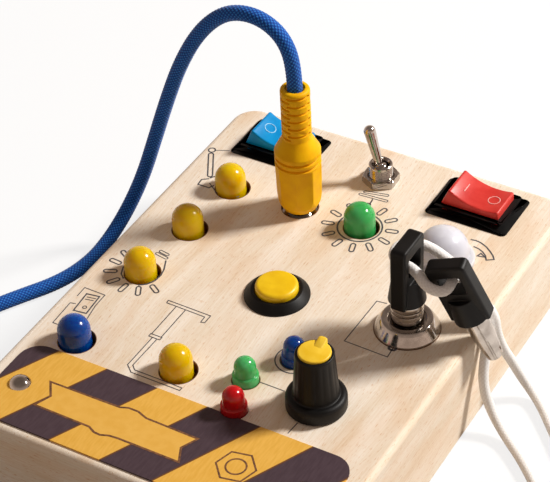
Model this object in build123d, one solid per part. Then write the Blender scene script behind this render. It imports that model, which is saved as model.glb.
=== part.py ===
# Wooden busy board: a hollow wood block with switches, lamps, a key switch, a dimmer and a jack.
# Millimetres. +Z up, +Y towards the two rocker switches, +X towards the key switch.
# The origin is the middle of the underside, which stands on the table.

from build123d import *
from math import radians, sqrt, tan
import os

os.makedirs("parts", exist_ok=True)

# Wooden body
body_width = 90.0
body_length = 125.0
body_height = 25.0
corner_radius = 6.0
top_edge_radius = 1.6
top_thickness = 4.0
side_wall = 4.5
pocket_corner = 3.0
ledge = 2.0                   # rabbet that the base panel lies in
front_block_length = 12.0     # solid wood left for the screws, front corners
back_block_length = 7.4
back_block_from_back = 18.8
back_block_width = 8.6

# Clearances
fit = 0.05                    # radius, between a round piece and its hole
loose = 0.2                   # all round, between a flat piece and its opening
running = 0.1                 # radius, between a sliding piece and its guide
free_gap = 0.3                # between a moving piece and what it passes

# Base panel, battery compartment
panel_thickness = 3.0
cover_thickness = 1.5
cover_margin = 5.5            # past each end of the battery cavity
cover_length = 26.8
cover_from_front = 18.1       # middle of the battery compartment
cover_screw_inset = 2.5
cover_tab_reach = 1.9
cover_tab_length = 8.0
cell_radius = 5.2
cell_length = 43.5            # without the nub
nub_radius = 1.9
nub_height = 1.0
cell_pitch = 10.9
spring_room = 5.3
holder_wall = 1.5
holder_flange = 1.6
holder_flange_reach = 3.7
cell_lift = 1.1               # from the panel's inner face to the cells
holder_top_wall = 1.3
boss_radius = 2.4
boss_height = 5.0
contact_thickness = 0.4
contact_width = 7.0
contact_height = 8.0
tab_width = 3.0
tab_rise = 2.2                # a contact's solder tab, above the holder

# Screws
base_screw_head = 2.8
base_screw_shank = 1.4
base_screw_length = 12.0
cover_screw_head = 2.0
cover_screw_shank = 1.0
cover_screw_length = 7.0
plate_screw_head = 2.5
plate_screw_dome = 1.5
plate_screw_shank = 1.2
plate_screw_depth = 8.0
board_screw_head = 1.9
board_screw_head_height = 1.3
board_screw_shank = 0.95
board_screw_grip = 6.4        # in the spacer
recess_width = 0.7
recess_depth = 0.8

# Striped plate
plate_thickness = 0.4
plate_corner = 5.0
plate_left_margin = 3.5
plate_right_margin = 4.5
plate_front_margin = 2.1
plate_length = 23.8

# Circuit board
board_lift = 3.0              # from the panel to the board
board_thickness = 1.6
board_margin = 3.5
board_back_margin = 0.8
board_to_holder = 1.1
tongue_width = 8.8            # reaches forward to the blue lamp, beside the holder
tongue_length = 6.1
notch_room = 0.5
spacer_radius = 2.5
lead_size = 0.6
lead_spread = 1.27
lead_hole = 0.55
lead_tip = 0.8                # below the board
tab_thickness = 0.8
slot_room = 0.2

# Rocker switches
bezel_width = 21.0
bezel_length = 15.0
bezel_height = 2.0
bezel_slope = 1.5
switch_width = 18.6
switch_length = 12.6
switch_depth = 13.5
cavity_width = 17.0
cavity_length = 10.2
cavity_depth = 4.4
clip_reach = 0.9
clip_height = 1.5
rocker_width = 9.2
rocker_half = 6.5             # half the distance between the two raised edges
rocker_edge = 5.1
rocker_valley = 3.6
rocker_nose = 7.7
rocker_bottom_half = 6.2
rocker_bottom = 3.0
rocker_tilt = 10.5
rocker_pivot_rise = 0.2       # above the top face
rocker_pin = 1.2
rocker_pin_reach = 0.8
switch_tab_width = 4.8
switch_tab_offset = 4.5

# Toggle switch
bushing_radius = 2.95
bushing_bore = 1.95
bushing_rise = 5.2
bushing_bore_depth = 6.7
bushing_flare = 0.35
keyway = 0.9
toggle_nut_flats = 8.0
toggle_nut_height = 2.0
toggle_nut_turn = 32.0
toggle_width = 13.2
toggle_length = 7.9
toggle_height = 9.7
toggle_pivot_rise = 3.0
toggle_ball = 1.9
toggle_base = 1.0
toggle_tip = 1.45
toggle_reach = 11.1
toggle_tail = 0.8
toggle_tail_reach = 3.0
toggle_lean = 15.0
toggle_pin_pitch = 4.7
round_pin = 0.5

# Lamps
big_lamp = 3.75
big_lamp_rise = 6.8
big_lamp_rim = 4.9
big_rim_height = 1.5
big_lamp_hole = 4.3
big_hole_shift = 0.45         # the lamps stand against one side of their holes
small_lamp = 2.45
small_lamp_rise = 6.4
small_lamp_band = 2.95
small_band_rise = 2.0
small_lamp_rim = 3.6
small_rim_height = 1.0
small_lamp_hole = 3.1
red_lead_back = 5.1           # the red lamp's leads are bent back over the battery holder
dome_flange = 7.4
dome_flange_height = 1.2
dome_radius = 6.1
dome_neck = 5.0
dome_neck_depth = 5.5
dome_hollow = 4.0
dome_hollow_rise = 4.0
dome_straight = 2.4
dome_hole = 5.2
bulb_radius = 2.5
bulb_rim = 2.9
bulb_top_rise = 3.6
bulb_depth = 5.0

# Push button
button_bezel = 7.6
button_bezel_top = 5.8
button_bezel_height = 2.0
button_barrel = 6.0
button_barrel_depth = 13.0
button_foot = 5.2
button_foot_height = 3.6
button_bore = 5.05
button_bore_depth = 8.0
button_nut_flats = 14.0
button_nut_height = 2.0
cap_rise = 3.6
cap_skirt_depth = 3.0
cap_edge = 0.8
stem_radius = 2.0
stem_length = 8.4
button_spring_radius = 3.2
button_spring_wire = 0.3
button_spring_turns = 4
button_tab_width = 2.4
button_tab_offset = 3.0

# Key switch and keys
lock_bezel = 7.4
lock_bezel_top = 5.75
lock_bezel_height = 3.2
lock_barrel_radius = 6.0
lock_depth = 15.0
lock_floor = 4.0
lock_nut_flats = 15.0
lock_nut_height = 2.0
plug_rise = 8.6               # the turning barrel above the top face
barrel_radius = 3.7
barrel_grooves = (5.6, 6.7)   # above the top face
groove_depth = 0.35
groove_height = 0.4
barrel_recess = 0.6           # ring round the barrel in the bezel
barrel_recess_depth = 1.5
barrel_foot_gap = 0.2
barrel_keyhole = 2.75
barrel_keyhole_depth = 13.6
lock_pin_ring = 3.6
key_skirt = 4.3
key_skirt_height = 6.3
key_skirt_top = 3.4
key_plate_thickness = 3.7
key_plate_width = 9.6
key_height = 16.2
key_slot_width = 5.4
key_slot_height = 5.0
key_bar = 3.0                 # over the slot
key_edge = 0.6
key_stem_radius = 2.7
key_stem_tip = 1.9
key_stem_length = 13.2
key_stem_bore = 1.1
key_stem_bore_depth = 5.0
key_stem_slot = 0.9
key_seat = 0.1
spare_key_top = (39.8, 4.3, 48.2)
spare_key_turn = 6.0
spare_key_lean = 20.5          # to the right
spare_key_tilt = 10.0          # foot to the back

# Dimmer and knob
dimmer_radius = 6.2
dimmer_depth = 8.5
dimmer_bushing = 3.5
dimmer_bushing_rise = 2.4
dimmer_nut_flats = 9.6
dimmer_nut_height = 2.0
shaft_radius = 3.0
shaft_rise = 12.5
shaft_foot = 2.5              # above the dimmer's underside
shaft_flat = 1.0
dimmer_pin_reach = 8.2
dimmer_pin_pitch = 2.5
dimmer_pin_rise = 1.5
knob_gap = 0.3
knob_skirt = 6.7
knob_skirt_height = 3.6
knob_low = 5.0
knob_high = 4.25
knob_height = 14.9
knob_hollow = 5.95
knob_hollow_height = 2.7
knob_cap_radius = 3.6
knob_cap_seat = 0.6
knob_cap_rise = 0.5
pointer_width = 2.2
pointer_start = 0.8           # from the knob's axis
pointer_rise = 0.8

# Jack and plug
jack_size = 11.0
sleeve_radius = 4.35
sleeve_bore = 3.05
sleeve_recess = 0.8           # its rim, below the top face
sleeve_depth = 13.0
contact_radius = 3.0
contact_depth = 10.7
plug_gap = 0.8
plug_foot = 4.1
plug_low = 5.1
plug_low_height = 2.0
plug_grip = 5.5
plug_grip_start = 4.6
plug_grip_end = 16.6
plug_neck = 3.5
plug_neck_start = 20.4
plug_height = 34.0
plug_flats_low = 9.8          # across the flats, at the foot
plug_flats = 10.3
plug_flats_height = 12.8
plug_groove = 0.5
plug_grooves = (13.3, 14.9)
plug_groove_height = 0.7
plug_recess = 0.8             # round the lead
plug_recess_room = 0.45
relief_start = 20.9
relief_pitch = 1.05
relief_count = 12
relief_groove_height = 0.5
relief_edge = 0.8

# Cords
lead_radius = 1.85
grommet_flange = 4.4
grommet_flange_thickness = 1.4
grommet_neck = 3.15
grommet_inner = 3.9
grommet_inner_thickness = 1.2
grommet_height = 9.0          # axis, above the table
grommet_from_front = 22.5
lead_straight = 6.1           # out of the plug
lead_inside = 1.0             # the lead's end, past the inner wall
wire_radius = 0.45
key_cord_radius = 1.2
knot_radius = 3.1
knot_length = 5.4
knot_rounding = 1.6
knot_tail = 8.0
tail_spread = 1.7
tail_angle = 14.0

# Levels
top = body_height
under_top = top - top_thickness
board_bottom = panel_thickness + board_lift
board_top = board_bottom + board_thickness
lead_foot = board_bottom - lead_tip
pivot_level = top + rocker_pivot_rise
toggle_pivot = top + toggle_pivot_rise
barrel_top = top + plug_rise
plug_bottom = top + plug_gap
plug_top = plug_bottom + plug_height

# Edges
left = -body_width / 2
right = body_width / 2
front = -body_length / 2
back = body_length / 2
pocket_half = right - side_wall
pocket_back = back - side_wall
pocket_front = front + side_wall

# Places on the top face: each group keeps its distance from the nearest edge
blue_switch_at = (left + 17.3, back - 11.8)
red_switch_at = (right - 19.3, back - 11.5)
toggle_at = (0.5, back - 12.5)
big_lamp_places = {
    "yellow_lamp_1": (left + 14.6, back - 31.5),
    "yellow_lamp_2": (left + 13.6, back - 49.5),
    "yellow_lamp_3": (left + 12.1, back - 67.9),
    "yellow_lamp_4": (-8.0, front + 32.9),
    "blue_lamp": (left + 11.7, front + 30.8),
    "green_lamp": (4.4, back - 30.7),
}
small_lamp_places = {
    "small_green_lamp": (7.0, front + 37.1),
    "small_red_lamp": (9.5, front + 28.0),
    "small_blue_lamp": (13.3, front + 47.5),
}
jack_at = (-11.85, back - 30.4)
dome_at = (right - 18.1, back - 32.3)
button_at = (-0.9, 2.0)
lock_at = (right - 14.7, 5.5)
dimmer_at = (right - 20.6, front + 37.3)
spacer_places = [
    (left + 23.5, back - 22.0),
    (13.5, back - 21.5),
    (left + 23.0, front + 40.5),
    (right - 11.0, front + 46.5),
]
plate_screw_places = [(left + 9.0, front + 13.5), (right - 10.8, front + 14.0)]

# Battery compartment and screw blocks
cover_y = front + cover_from_front
nub_end = (cell_length + nub_height + spring_room) / 2
cavity_half = nub_end + contact_thickness
cover_width = 2 * (cavity_half + cover_margin)
cavity_span = cell_pitch + 2 * cell_radius + 2 * loose + contact_thickness
holder_half = cavity_half + holder_wall + loose
holder_span = cavity_span + 2 * holder_wall
holder_back = cover_y + holder_span / 2
holder_side = holder_half + holder_flange_reach
cell_level = panel_thickness + cell_lift + cell_radius
cavity_top = cell_level + cell_radius + loose + running
holder_top = cavity_top + holder_top_wall
cover_screw_at = (cover_width / 2 - cover_screw_inset, cover_y)
front_block_inner = holder_side + free_gap
front_block_back = pocket_front + front_block_length
back_block_y = back - back_block_from_back - back_block_length / 2
back_block_inner = pocket_half - back_block_width
base_screw_x = pocket_half - min(pocket_half - front_block_inner, back_block_width) / 2
base_screw_places = [
    (side * base_screw_x, y) for side in (-1, 1) for y in (back_block_y, pocket_front + 5.0)
]
board_front = holder_back + board_to_holder
grommet_y = front + grommet_from_front
board_half = pocket_half - board_margin
board_back = pocket_back - board_back_margin

stand = (Align.CENTER, Align.CENTER, Align.MIN)


def disc(radius, low, high, at=(0, 0)):
    return Pos(at[0], at[1], low) * Cylinder(radius, high - low, align=stand)


def cone(low_radius, high_radius, low, high, at=(0, 0)):
    return Pos(at[0], at[1], low) * Cone(low_radius, high_radius, high - low, align=stand)


def block(width, length, low, high, at=(0, 0)):
    return Pos(at[0], at[1], low) * Box(width, length, high - low, align=stand)


def span(x_low, x_high, y_low, y_high, z_low, z_high):
    middle = ((x_low + x_high) / 2, (y_low + y_high) / 2)
    return block(x_high - x_low, y_high - y_low, z_low, z_high, middle)


def rounded(width, length, radius, low, high, at=(0, 0)):
    return extrude(Pos(at[0], at[1], low) * RectangleRounded(width, length, radius), high - low)


def hexagon(flats, hole, low, high, at, turn=0.0):
    corner = flats / sqrt(3)
    prism = extrude(Pos(0, 0, low) * RegularPolygon(corner, 6), high - low)
    crown = cone(corner + 0.6, corner - 0.25, high - 0.85 * (high - low), high)
    nut = prism - (disc(2 * corner, high - 0.85 * (high - low), high) - crown)
    return Pos(at[0], at[1], 0) * Rot(0, 0, turn) * (nut - disc(hole, low, high))


def turned(*points):
    # a solid of revolution from (radius, height) points, closed along the axis
    outline = Polyline(*points, close=True)
    return revolve(Plane.XZ * make_face(outline), Axis.Z)


def moved(shape, at):
    return Pos(at[0], at[1], 0) * shape


def dome_cap(radius, height, low, at):
    ball = (radius * radius + height * height) / (2 * height)
    return disc(radius, low, low + height, at) & Pos(at[0], at[1], low + height - ball) * Sphere(ball)


def cross_recess(radius, face, depth, at):
    bar = block(1.3 * radius, recess_width, min(face, face + depth), max(face, face + depth))
    return moved(bar + Rot(0, 0, 90) * bar, at)


def save(name, shape):
    export_step(shape, f"parts/{name}.step")


def group(name, shapes):
    # several separate solids in one node
    save(name, Compound(children=[solid for shape in shapes for solid in shape.solids()]))


# Wood

def wooden_body():
    shell = rounded(body_width, body_length, corner_radius, 0, top)
    shell = fillet(shell.faces().sort_by(Axis.Z)[-1].edges(), top_edge_radius)
    pocket = rounded(2 * pocket_half, 2 * pocket_back, pocket_corner, panel_thickness, under_top)
    for side in (-1, 1):
        inner, outer = sorted((side * front_block_inner, side * right))
        pocket -= span(inner, outer, front, front_block_back, panel_thickness, under_top)
        inner, outer = sorted((side * back_block_inner, side * right))
        low = back_block_y - back_block_length / 2
        pocket -= span(inner, outer, low, low + back_block_length, panel_thickness, under_top)
    rabbet = rounded(2 * (pocket_half + ledge), 2 * (pocket_back + ledge), pocket_corner + ledge / 2,
                     0, panel_thickness)
    shell -= pocket + rabbet
    for place in (blue_switch_at, red_switch_at):
        shell -= block(switch_width + 2 * loose, switch_length + 2 * loose, under_top, top, place)
    holes = [(toggle_at, bushing_radius + 3 * fit), (jack_at, sleeve_radius + running)]
    holes += [((x + big_hole_shift, y), big_lamp_hole) for x, y in big_lamp_places.values()]
    holes += [(place, small_lamp_hole) for place in small_lamp_places.values()]
    holes += [(dome_at, dome_hole), (button_at, button_barrel + running)]
    holes += [(lock_at, lock_barrel_radius + running), (dimmer_at, dimmer_bushing + running)]
    for place, radius in holes:
        shell -= disc(radius, under_top, top, place)
    for place in base_screw_places:
        shell -= disc(base_screw_shank + fit, 0, base_screw_length, place)
    for place in plate_screw_places:
        shell -= disc(plate_screw_shank + fit, top - plate_screw_depth - 0.5, top, place)
    bore = Pos(left, grommet_y, grommet_height) * Rot(0, 90, 0)
    shell -= bore * Cylinder(grommet_neck + fit, 2 * side_wall)
    save("wooden_body", shell)


def striped_plate():
    width = body_width - plate_left_margin - plate_right_margin
    middle = ((plate_left_margin - plate_right_margin) / 2, front + plate_front_margin + plate_length / 2)
    plate = rounded(width, plate_length, plate_corner, top, top + plate_thickness, middle)
    screws = []
    for place in plate_screw_places:
        plate -= disc(plate_screw_shank + running, top, top + plate_thickness, place)
        face = top + plate_thickness
        screws.append(dome_cap(plate_screw_head, plate_screw_dome, face, place)
                      + disc(plate_screw_shank, top - plate_screw_depth, face, place))
    for place in small_lamp_places.values():
        plate -= disc(small_lamp_band + running, top, top + plate_thickness, place)
    save("striped_plate", plate)
    group("plate_screws", screws)


# Base and battery compartment

def countersunk(head, shank, length, at, low=0.0):
    screw = cone(head, shank, low, low + head - shank, at) + disc(shank, low, low + length, at)
    return screw - cross_recess(head, low, recess_depth, at)


def base_panel():
    panel = rounded(2 * (pocket_half + ledge - loose), 2 * (pocket_back + ledge - loose),
                    pocket_corner + ledge / 2 - loose, 0, panel_thickness)
    panel -= block(2 * cavity_half, cavity_span, 0, panel_thickness, (0, cover_y))
    panel -= block(cover_width + 2 * loose, cover_length + 2 * loose, 0, cover_thickness, (0, cover_y))
    tab_end = -cover_width / 2 - cover_tab_reach - loose
    tab_side = cover_tab_length / 2 + loose
    panel -= span(tab_end, -cavity_half + 1, cover_y - tab_side, cover_y + tab_side,
                  cover_thickness, panel_thickness)
    panel -= disc(cover_screw_shank + loose, 0, panel_thickness, cover_screw_at)
    for place in base_screw_places:
        panel -= disc(base_screw_shank + fit, 0, panel_thickness, place)
        panel -= cone(base_screw_head + fit, base_screw_shank + fit, 0,
                      base_screw_head - base_screw_shank, place)
    save("base_panel", panel)
    group("base_screws", [countersunk(base_screw_head, base_screw_shank, base_screw_length, place)
                          for place in base_screw_places])


def battery_cover():
    cover = block(cover_width, cover_length, 0, cover_thickness, (0, cover_y))
    tab_end = -cover_width / 2 - cover_tab_reach
    cover += span(tab_end, -cavity_half - loose, cover_y - cover_tab_length / 2,
                  cover_y + cover_tab_length / 2, cover_thickness, panel_thickness - loose)
    cover -= span(tab_end - 1, -cover_width / 2 - loose, cover_y - cover_length, cover_y + cover_length,
                  0, cover_thickness)
    cover -= disc(cover_screw_shank + fit, 0, cover_thickness, cover_screw_at)
    cover -= cone(cover_screw_head + fit, cover_screw_shank + fit, 0,
                  cover_screw_head - cover_screw_shank, cover_screw_at)
    save("battery_cover", cover)
    save("cover_screw", countersunk(cover_screw_head, cover_screw_shank, cover_screw_length, cover_screw_at))


def battery_holder():
    low = panel_thickness
    middle = (0, cover_y)
    holder = block(2 * holder_half, holder_span, low, holder_top, middle)
    holder += block(2 * holder_side, holder_span + 0.4, low, low + holder_flange, middle)
    holder += disc(boss_radius, low, low + boss_height, cover_screw_at)
    holder -= block(2 * cavity_half, cavity_span, low, cavity_top, middle)
    holder -= disc(cover_screw_shank + fit, low, low + boss_height, cover_screw_at)
    tab_x = nub_end + contact_thickness / 2
    for side in (-1, 1):
        place = (-tab_x, cover_y + side * cell_pitch / 2)
        holder -= block(contact_thickness, tab_width + 2 * loose, cavity_top, holder_top, place)
    save("battery_holder", holder)


def along_x(radius, x_low, x_high, y, z):
    return Pos((x_low + x_high) / 2, y, z) * Rot(0, 90, 0) * Cylinder(radius, x_high - x_low)


def coil(radius, wire, low, high, turns):
    # the wire's centre line runs from low to high
    line = Helix((high - low) / turns, high - low, radius)
    return Pos(0, 0, low) * sweep(Plane(origin=line @ 0, z_dir=line % 0) * Circle(wire), path=line)


def batteries():
    cells = []
    contacts = []
    for side in (1, -1):
        y = cover_y + side * cell_pitch / 2
        cell = along_x(cell_radius, -nub_end + nub_height, -nub_end + nub_height + cell_length, 0, 0)
        cell += along_x(nub_radius, -nub_end, -nub_end + nub_height, 0, 0)
        spring = Pos(nub_end - spring_room, 0, 0) * Rot(0, 90, 0)
        spring *= coil(3.0, 0.35, 0.35, spring_room - 0.35, 4)
        turn = Pos(0, y, cell_level) * Rot(0, 0, 0 if side > 0 else 180)
        cells.append(turn * cell)
        contacts.append(turn * spring)
        end = -nub_end - contact_thickness / 2
        contacts.append(block(contact_thickness, contact_width, cell_level - contact_height / 2,
                              cell_level + contact_height / 2, (end, y))
                        + block(contact_thickness, tab_width, cell_level, holder_top + tab_rise, (end, y)))
    contacts.append(block(contact_thickness, cell_pitch + contact_width, cell_level - contact_height / 2,
                          cell_level + contact_height / 2, (nub_end + contact_thickness / 2, cover_y)))
    group("battery_cells", cells)
    group("battery_contacts", contacts)


# Circuit board, its pins and leads

def switch_tabs(at):
    return [block(tab_thickness, switch_tab_width, lead_foot, top - switch_depth,
                  (at[0] + side * switch_tab_offset, at[1])) for side in (-1, 1)]


def pin_pieces():
    pins = switch_tabs(blue_switch_at) + switch_tabs(red_switch_at)
    for step in (-1, 0, 1):
        pins.append(disc(round_pin, lead_foot, under_top - toggle_height,
                         (toggle_at[0] + step * toggle_pin_pitch, toggle_at[1])))
        x = dimmer_at[0] + step * dimmer_pin_pitch
        level = under_top - dimmer_depth + dimmer_pin_rise
        far = dimmer_at[1] + dimmer_pin_reach
        inner_x = max(dimmer_pin_pitch * abs(step) - lead_size / 2, 0)
        near = dimmer_at[1] + sqrt(dimmer_radius ** 2 - inner_x ** 2)
        pins.append(span(x - lead_size / 2, x + lead_size / 2, near, far, level, level + lead_size)
                    + span(x - lead_size / 2, x + lead_size / 2, far - lead_size, far, lead_foot,
                           level + lead_size))
    for side in (-1, 1):
        pins.append(block(tab_thickness, button_tab_width, lead_foot,
                          top - button_barrel_depth - button_foot_height,
                          (button_at[0] + side * button_tab_offset, button_at[1])))
        pins.append(disc(round_pin, lead_foot, top - lock_depth,
                         (lock_at[0], lock_at[1] + side * lock_pin_ring)))
        pins.append(disc(round_pin, lead_foot, board_top, (jack_at[0] + side * lead_spread, jack_at[1])))
    return pins


def pin_holes():
    holes = []
    for pin in pin_pieces():
        box = pin.bounding_box()
        width, length = box.size.X, box.size.Y
        if length > 2 * switch_tab_width / 2 + lead_size:
            width, length = lead_size, lead_size
        y = box.max.Y - length / 2
        holes.append(block(width + 2 * slot_room, length + 2 * slot_room, board_bottom, board_top,
                           (box.center().X, y)))
    return holes


def lead_places():
    places = {name: (place, under_top - big_rim_height) for name, place in big_lamp_places.items()}
    for name, place in small_lamp_places.items():
        places[name] = (place, under_top - small_rim_height)
    places["dome_bulb"] = (dome_at, top - bulb_depth)
    return places


def lamp_leads():
    leads = []
    holes = []
    half = lead_size / 2
    for name, (place, level) in lead_places().items():
        for side in (-1, 1):
            x = place[0] + side * lead_spread
            y = place[1]
            if name == "small_red_lamp":
                step = level - 2.0
                far = y + red_lead_back
                leads.append(block(lead_size, lead_size, step - lead_size, level, (x, y))
                             + span(x - half, x + half, y - half, far + half, step - lead_size, step)
                             + block(lead_size, lead_size, lead_foot, step, (x, far)))
                y = far
            else:
                leads.append(block(lead_size, lead_size, lead_foot, level, (x, y)))
            holes.append(disc(lead_hole, board_bottom, board_top, (x, y)))
    group("lamp_leads", leads)
    return holes


def circuit_board(holes):
    board = span(-board_half, board_half, board_front, board_back, board_bottom, board_top)
    board += span(-board_half, -board_half + tongue_width, board_front - tongue_length, board_front,
                  board_bottom, board_top)
    for side in (-1, 1):
        inner, outer = sorted((side * (back_block_inner - notch_room), side * (board_half + 1)))
        board -= span(inner, outer, back_block_y - back_block_length / 2 - notch_room,
                      back_block_y + back_block_length / 2 + notch_room, board_bottom, board_top)
    for hole in holes + pin_holes():
        board -= hole
    spacers = []
    screws = []
    for place in spacer_places:
        board -= disc(board_screw_shank + running, board_bottom, board_top, place)
        spacer = disc(spacer_radius, board_top, under_top, place)
        spacers.append(spacer - disc(board_screw_shank + fit, board_top, under_top, place))
        face = board_bottom - board_screw_head_height
        screw = disc(board_screw_head, face, board_bottom, place)
        screw += disc(board_screw_shank, face, board_top + board_screw_grip, place)
        screws.append(screw - cross_recess(board_screw_head, face, recess_depth, place))
    save("circuit_board", board)
    group("board_spacers", spacers)
    group("board_screws", screws)


def board_components():
    # chip, capacitors and resistors, between the switches that reach down to the board
    chip = block(10.0, 6.0, board_top, board_top + 1.5, (14.0, 13.0))
    chip += block(12.0, 0.4, board_top, board_top + 0.4, (14.0, 13.0))
    capacitors = [disc(2.5, board_top, board_top + 6.0, place) for place in ((16.0, 2.5), (-17.0, 4.0))]
    resistors = [block(3.2, 1.6, board_top, board_top + 0.6, (x, y))
                 for x in (-24.0, -18.0) for y in (-8.0, -4.5, 18.0, 21.5)]
    group("board_components", [chip] + capacitors + resistors)


# Rocker switches

def rocker_switch(colour, at):
    width, length = cavity_width, cavity_length
    low = loft([Pos(0, 0, top) * RectangleRounded(bezel_width, bezel_length, 1.2),
                Pos(0, 0, top + bezel_height)
                * RectangleRounded(bezel_width - 2 * bezel_slope, bezel_length - 2 * bezel_slope, 0.9)])
    housing = low + block(switch_width, switch_length, top - switch_depth, top)
    clip = under_top - 0.1
    housing += block(switch_width + 2 * clip_reach, switch_length / 2, clip - clip_height, clip)
    housing -= block(width, length, top - cavity_depth, top + bezel_height)
    pin = Rot(90, 0, 0) * Cylinder(rocker_pin, length + 2 * rocker_pin_reach)
    hole = Rot(90, 0, 0) * Cylinder(rocker_pin + fit, length + 2 * rocker_pin_reach + 2 * running)
    housing -= Pos(0, 0, pivot_level) * hole
    save(f"{colour}_switch_housing", moved(housing, at))
    edge = ThreePointArc((-rocker_half, rocker_edge), (0, rocker_valley), (rocker_half, rocker_edge))
    sides = Polyline((rocker_half, rocker_edge), (rocker_nose, 0), (rocker_bottom_half, -rocker_bottom),
                     (-rocker_bottom_half, -rocker_bottom), (-rocker_nose, 0), (-rocker_half, rocker_edge))
    face = Plane.XZ * make_face(Curve() + [edge, sides])
    rocker = extrude(face, rocker_width / 2, both=True) + pin
    save(f"{colour}_rocker", Pos(at[0], at[1], pivot_level) * Rot(0, rocker_tilt, 0) * rocker)


# Toggle switch

def toggle_switch():
    rise = top + bushing_rise
    floor = rise - bushing_bore_depth
    bushing = disc(bushing_radius, under_top, rise) - disc(bushing_bore, floor, rise)
    bushing -= cone(bushing_bore, bushing_bore + bushing_flare, rise - 2 * bushing_flare, rise)
    slot_depth = bushing_radius - bushing_bore
    slot_middle = (bushing_radius, 0)
    bushing -= block(slot_depth, keyway, top - 1, rise, slot_middle)
    save("toggle_bushing", moved(bushing, toggle_at))
    save("toggle_body", block(toggle_width, toggle_length, under_top - toggle_height, under_top, toggle_at))
    save("toggle_nut", hexagon(toggle_nut_flats, bushing_radius + fit, top, top + toggle_nut_height,
                               toggle_at, toggle_nut_turn))
    lever = Sphere(toggle_ball) + disc(toggle_tail, -toggle_tail_reach, 0)
    lever += cone(toggle_base, toggle_tip, 0, toggle_reach) + Pos(0, 0, toggle_reach) * Sphere(toggle_tip)
    save("toggle_lever", Pos(*toggle_at, toggle_pivot) * Rot(0, -toggle_lean, 0) * lever)


# Lamps

def lamps():
    for name, place in big_lamp_places.items():
        straight = top + big_lamp_rise - big_lamp
        lens = disc(big_lamp, under_top, straight, place)
        lens += Pos(*place, straight) * Sphere(big_lamp)
        lens += disc(big_lamp_rim, under_top - big_rim_height, under_top, place)
        save(name, lens)
    for name, place in small_lamp_places.items():
        straight = top + small_lamp_rise - small_lamp
        lens = disc(small_lamp_band, under_top, top + small_band_rise, place)
        lens += disc(small_lamp, top, straight, place) + Pos(*place, straight) * Sphere(small_lamp)
        lens += disc(small_lamp_rim, under_top - small_rim_height, under_top, place)
        save(name, lens)
    straight = top + dome_straight
    dome = disc(dome_radius, top, straight, dome_at) + Pos(*dome_at, straight) * Sphere(dome_radius)
    dome += disc(dome_flange, top, top + dome_flange_height, dome_at)
    dome = dome & disc(dome_flange, top, straight + dome_radius, dome_at)
    dome += disc(dome_neck, top - dome_neck_depth, top, dome_at)
    dome -= disc(dome_hollow, top - dome_neck_depth, top + dome_hollow_rise, dome_at)
    save("dome_lens", dome)
    bulb_low = top - bulb_depth
    bulb_straight = top + bulb_top_rise - bulb_radius
    bulb = disc(bulb_radius, bulb_low, bulb_straight, dome_at)
    bulb += Pos(*dome_at, bulb_straight) * Sphere(bulb_radius)
    bulb += disc(bulb_rim, bulb_low, bulb_low + 1, dome_at)
    save("dome_bulb", bulb)


# Push button

def push_button():
    barrel_low = top - button_barrel_depth
    seat = top - button_bore_depth
    housing = cone(button_bezel, button_bezel_top, top, top + button_bezel_height)
    housing += disc(button_barrel, barrel_low, top)
    housing += disc(button_foot, barrel_low - button_foot_height, barrel_low)
    housing -= disc(button_bore, seat, top + button_bezel_height)
    housing -= disc(stem_radius + running, barrel_low, seat)
    save("button_housing", moved(housing, button_at))
    save("button_nut", hexagon(button_nut_flats, button_barrel + fit, under_top - button_nut_height,
                               under_top, button_at))
    skirt = top - cap_skirt_depth
    cap = disc(button_bore - running, skirt, top + cap_rise)
    cap = fillet(cap.faces().sort_by(Axis.Z)[-1].edges(), cap_edge)
    cap += disc(stem_radius, skirt - stem_length, skirt)
    save("button_cap", moved(cap, button_at))
    spring = coil(button_spring_radius, button_spring_wire, seat + button_spring_wire,
                  skirt - button_spring_wire, button_spring_turns)
    save("button_spring", moved(spring, button_at))


# Key switch and its two keys

def key_switch():
    low = top - lock_depth
    housing = cone(lock_bezel, lock_bezel_top, top, top + lock_bezel_height)
    housing += disc(lock_barrel_radius, low, top)
    bore = barrel_radius + fit
    housing -= disc(bore + fit, low + lock_floor, top + lock_bezel_height)
    housing -= disc(bore + barrel_recess, top + lock_bezel_height - barrel_recess_depth,
                    top + lock_bezel_height)
    save("lock_housing", moved(housing, lock_at))
    save("lock_nut", hexagon(lock_nut_flats, lock_barrel_radius + fit, under_top - lock_nut_height,
                             under_top, lock_at))
    barrel = disc(bore, low + lock_floor + barrel_foot_gap, top + lock_bezel_height)
    barrel += disc(barrel_radius, top + lock_bezel_height, barrel_top)
    for rise in barrel_grooves:
        level = top + rise
        barrel -= (disc(2 * barrel_radius, level, level + groove_height)
                   - disc(barrel_radius - groove_depth, level, level + groove_height))
    barrel -= disc(barrel_keyhole, barrel_top - barrel_keyhole_depth, barrel_top)
    save("lock_barrel", moved(barrel, lock_at))


def key_bow():
    # the skirt stands on the lock, the plate's faces look along X, the cord slot goes through along X
    skirt = cone(key_skirt, key_skirt_top, 0, key_skirt_height)
    plate = block(key_plate_thickness, key_plate_width, 0, key_height)
    corners = plate.edges().filter_by(Axis.X).sort_by(Axis.Z)[-2:]
    plate = fillet(corners, 2 * key_edge)
    plate = fillet(plate.faces().sort_by(Axis.Z)[-1].edges(), key_edge)
    slot_top = key_height - key_bar
    slot = block(4 * key_plate_thickness, key_slot_width, slot_top - key_slot_height, slot_top)
    slot = fillet(slot.edges().filter_by(Axis.X), key_edge)
    bow = skirt + plate - slot
    return bow - disc(key_stem_radius, 0, 2 * key_seat)


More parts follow.
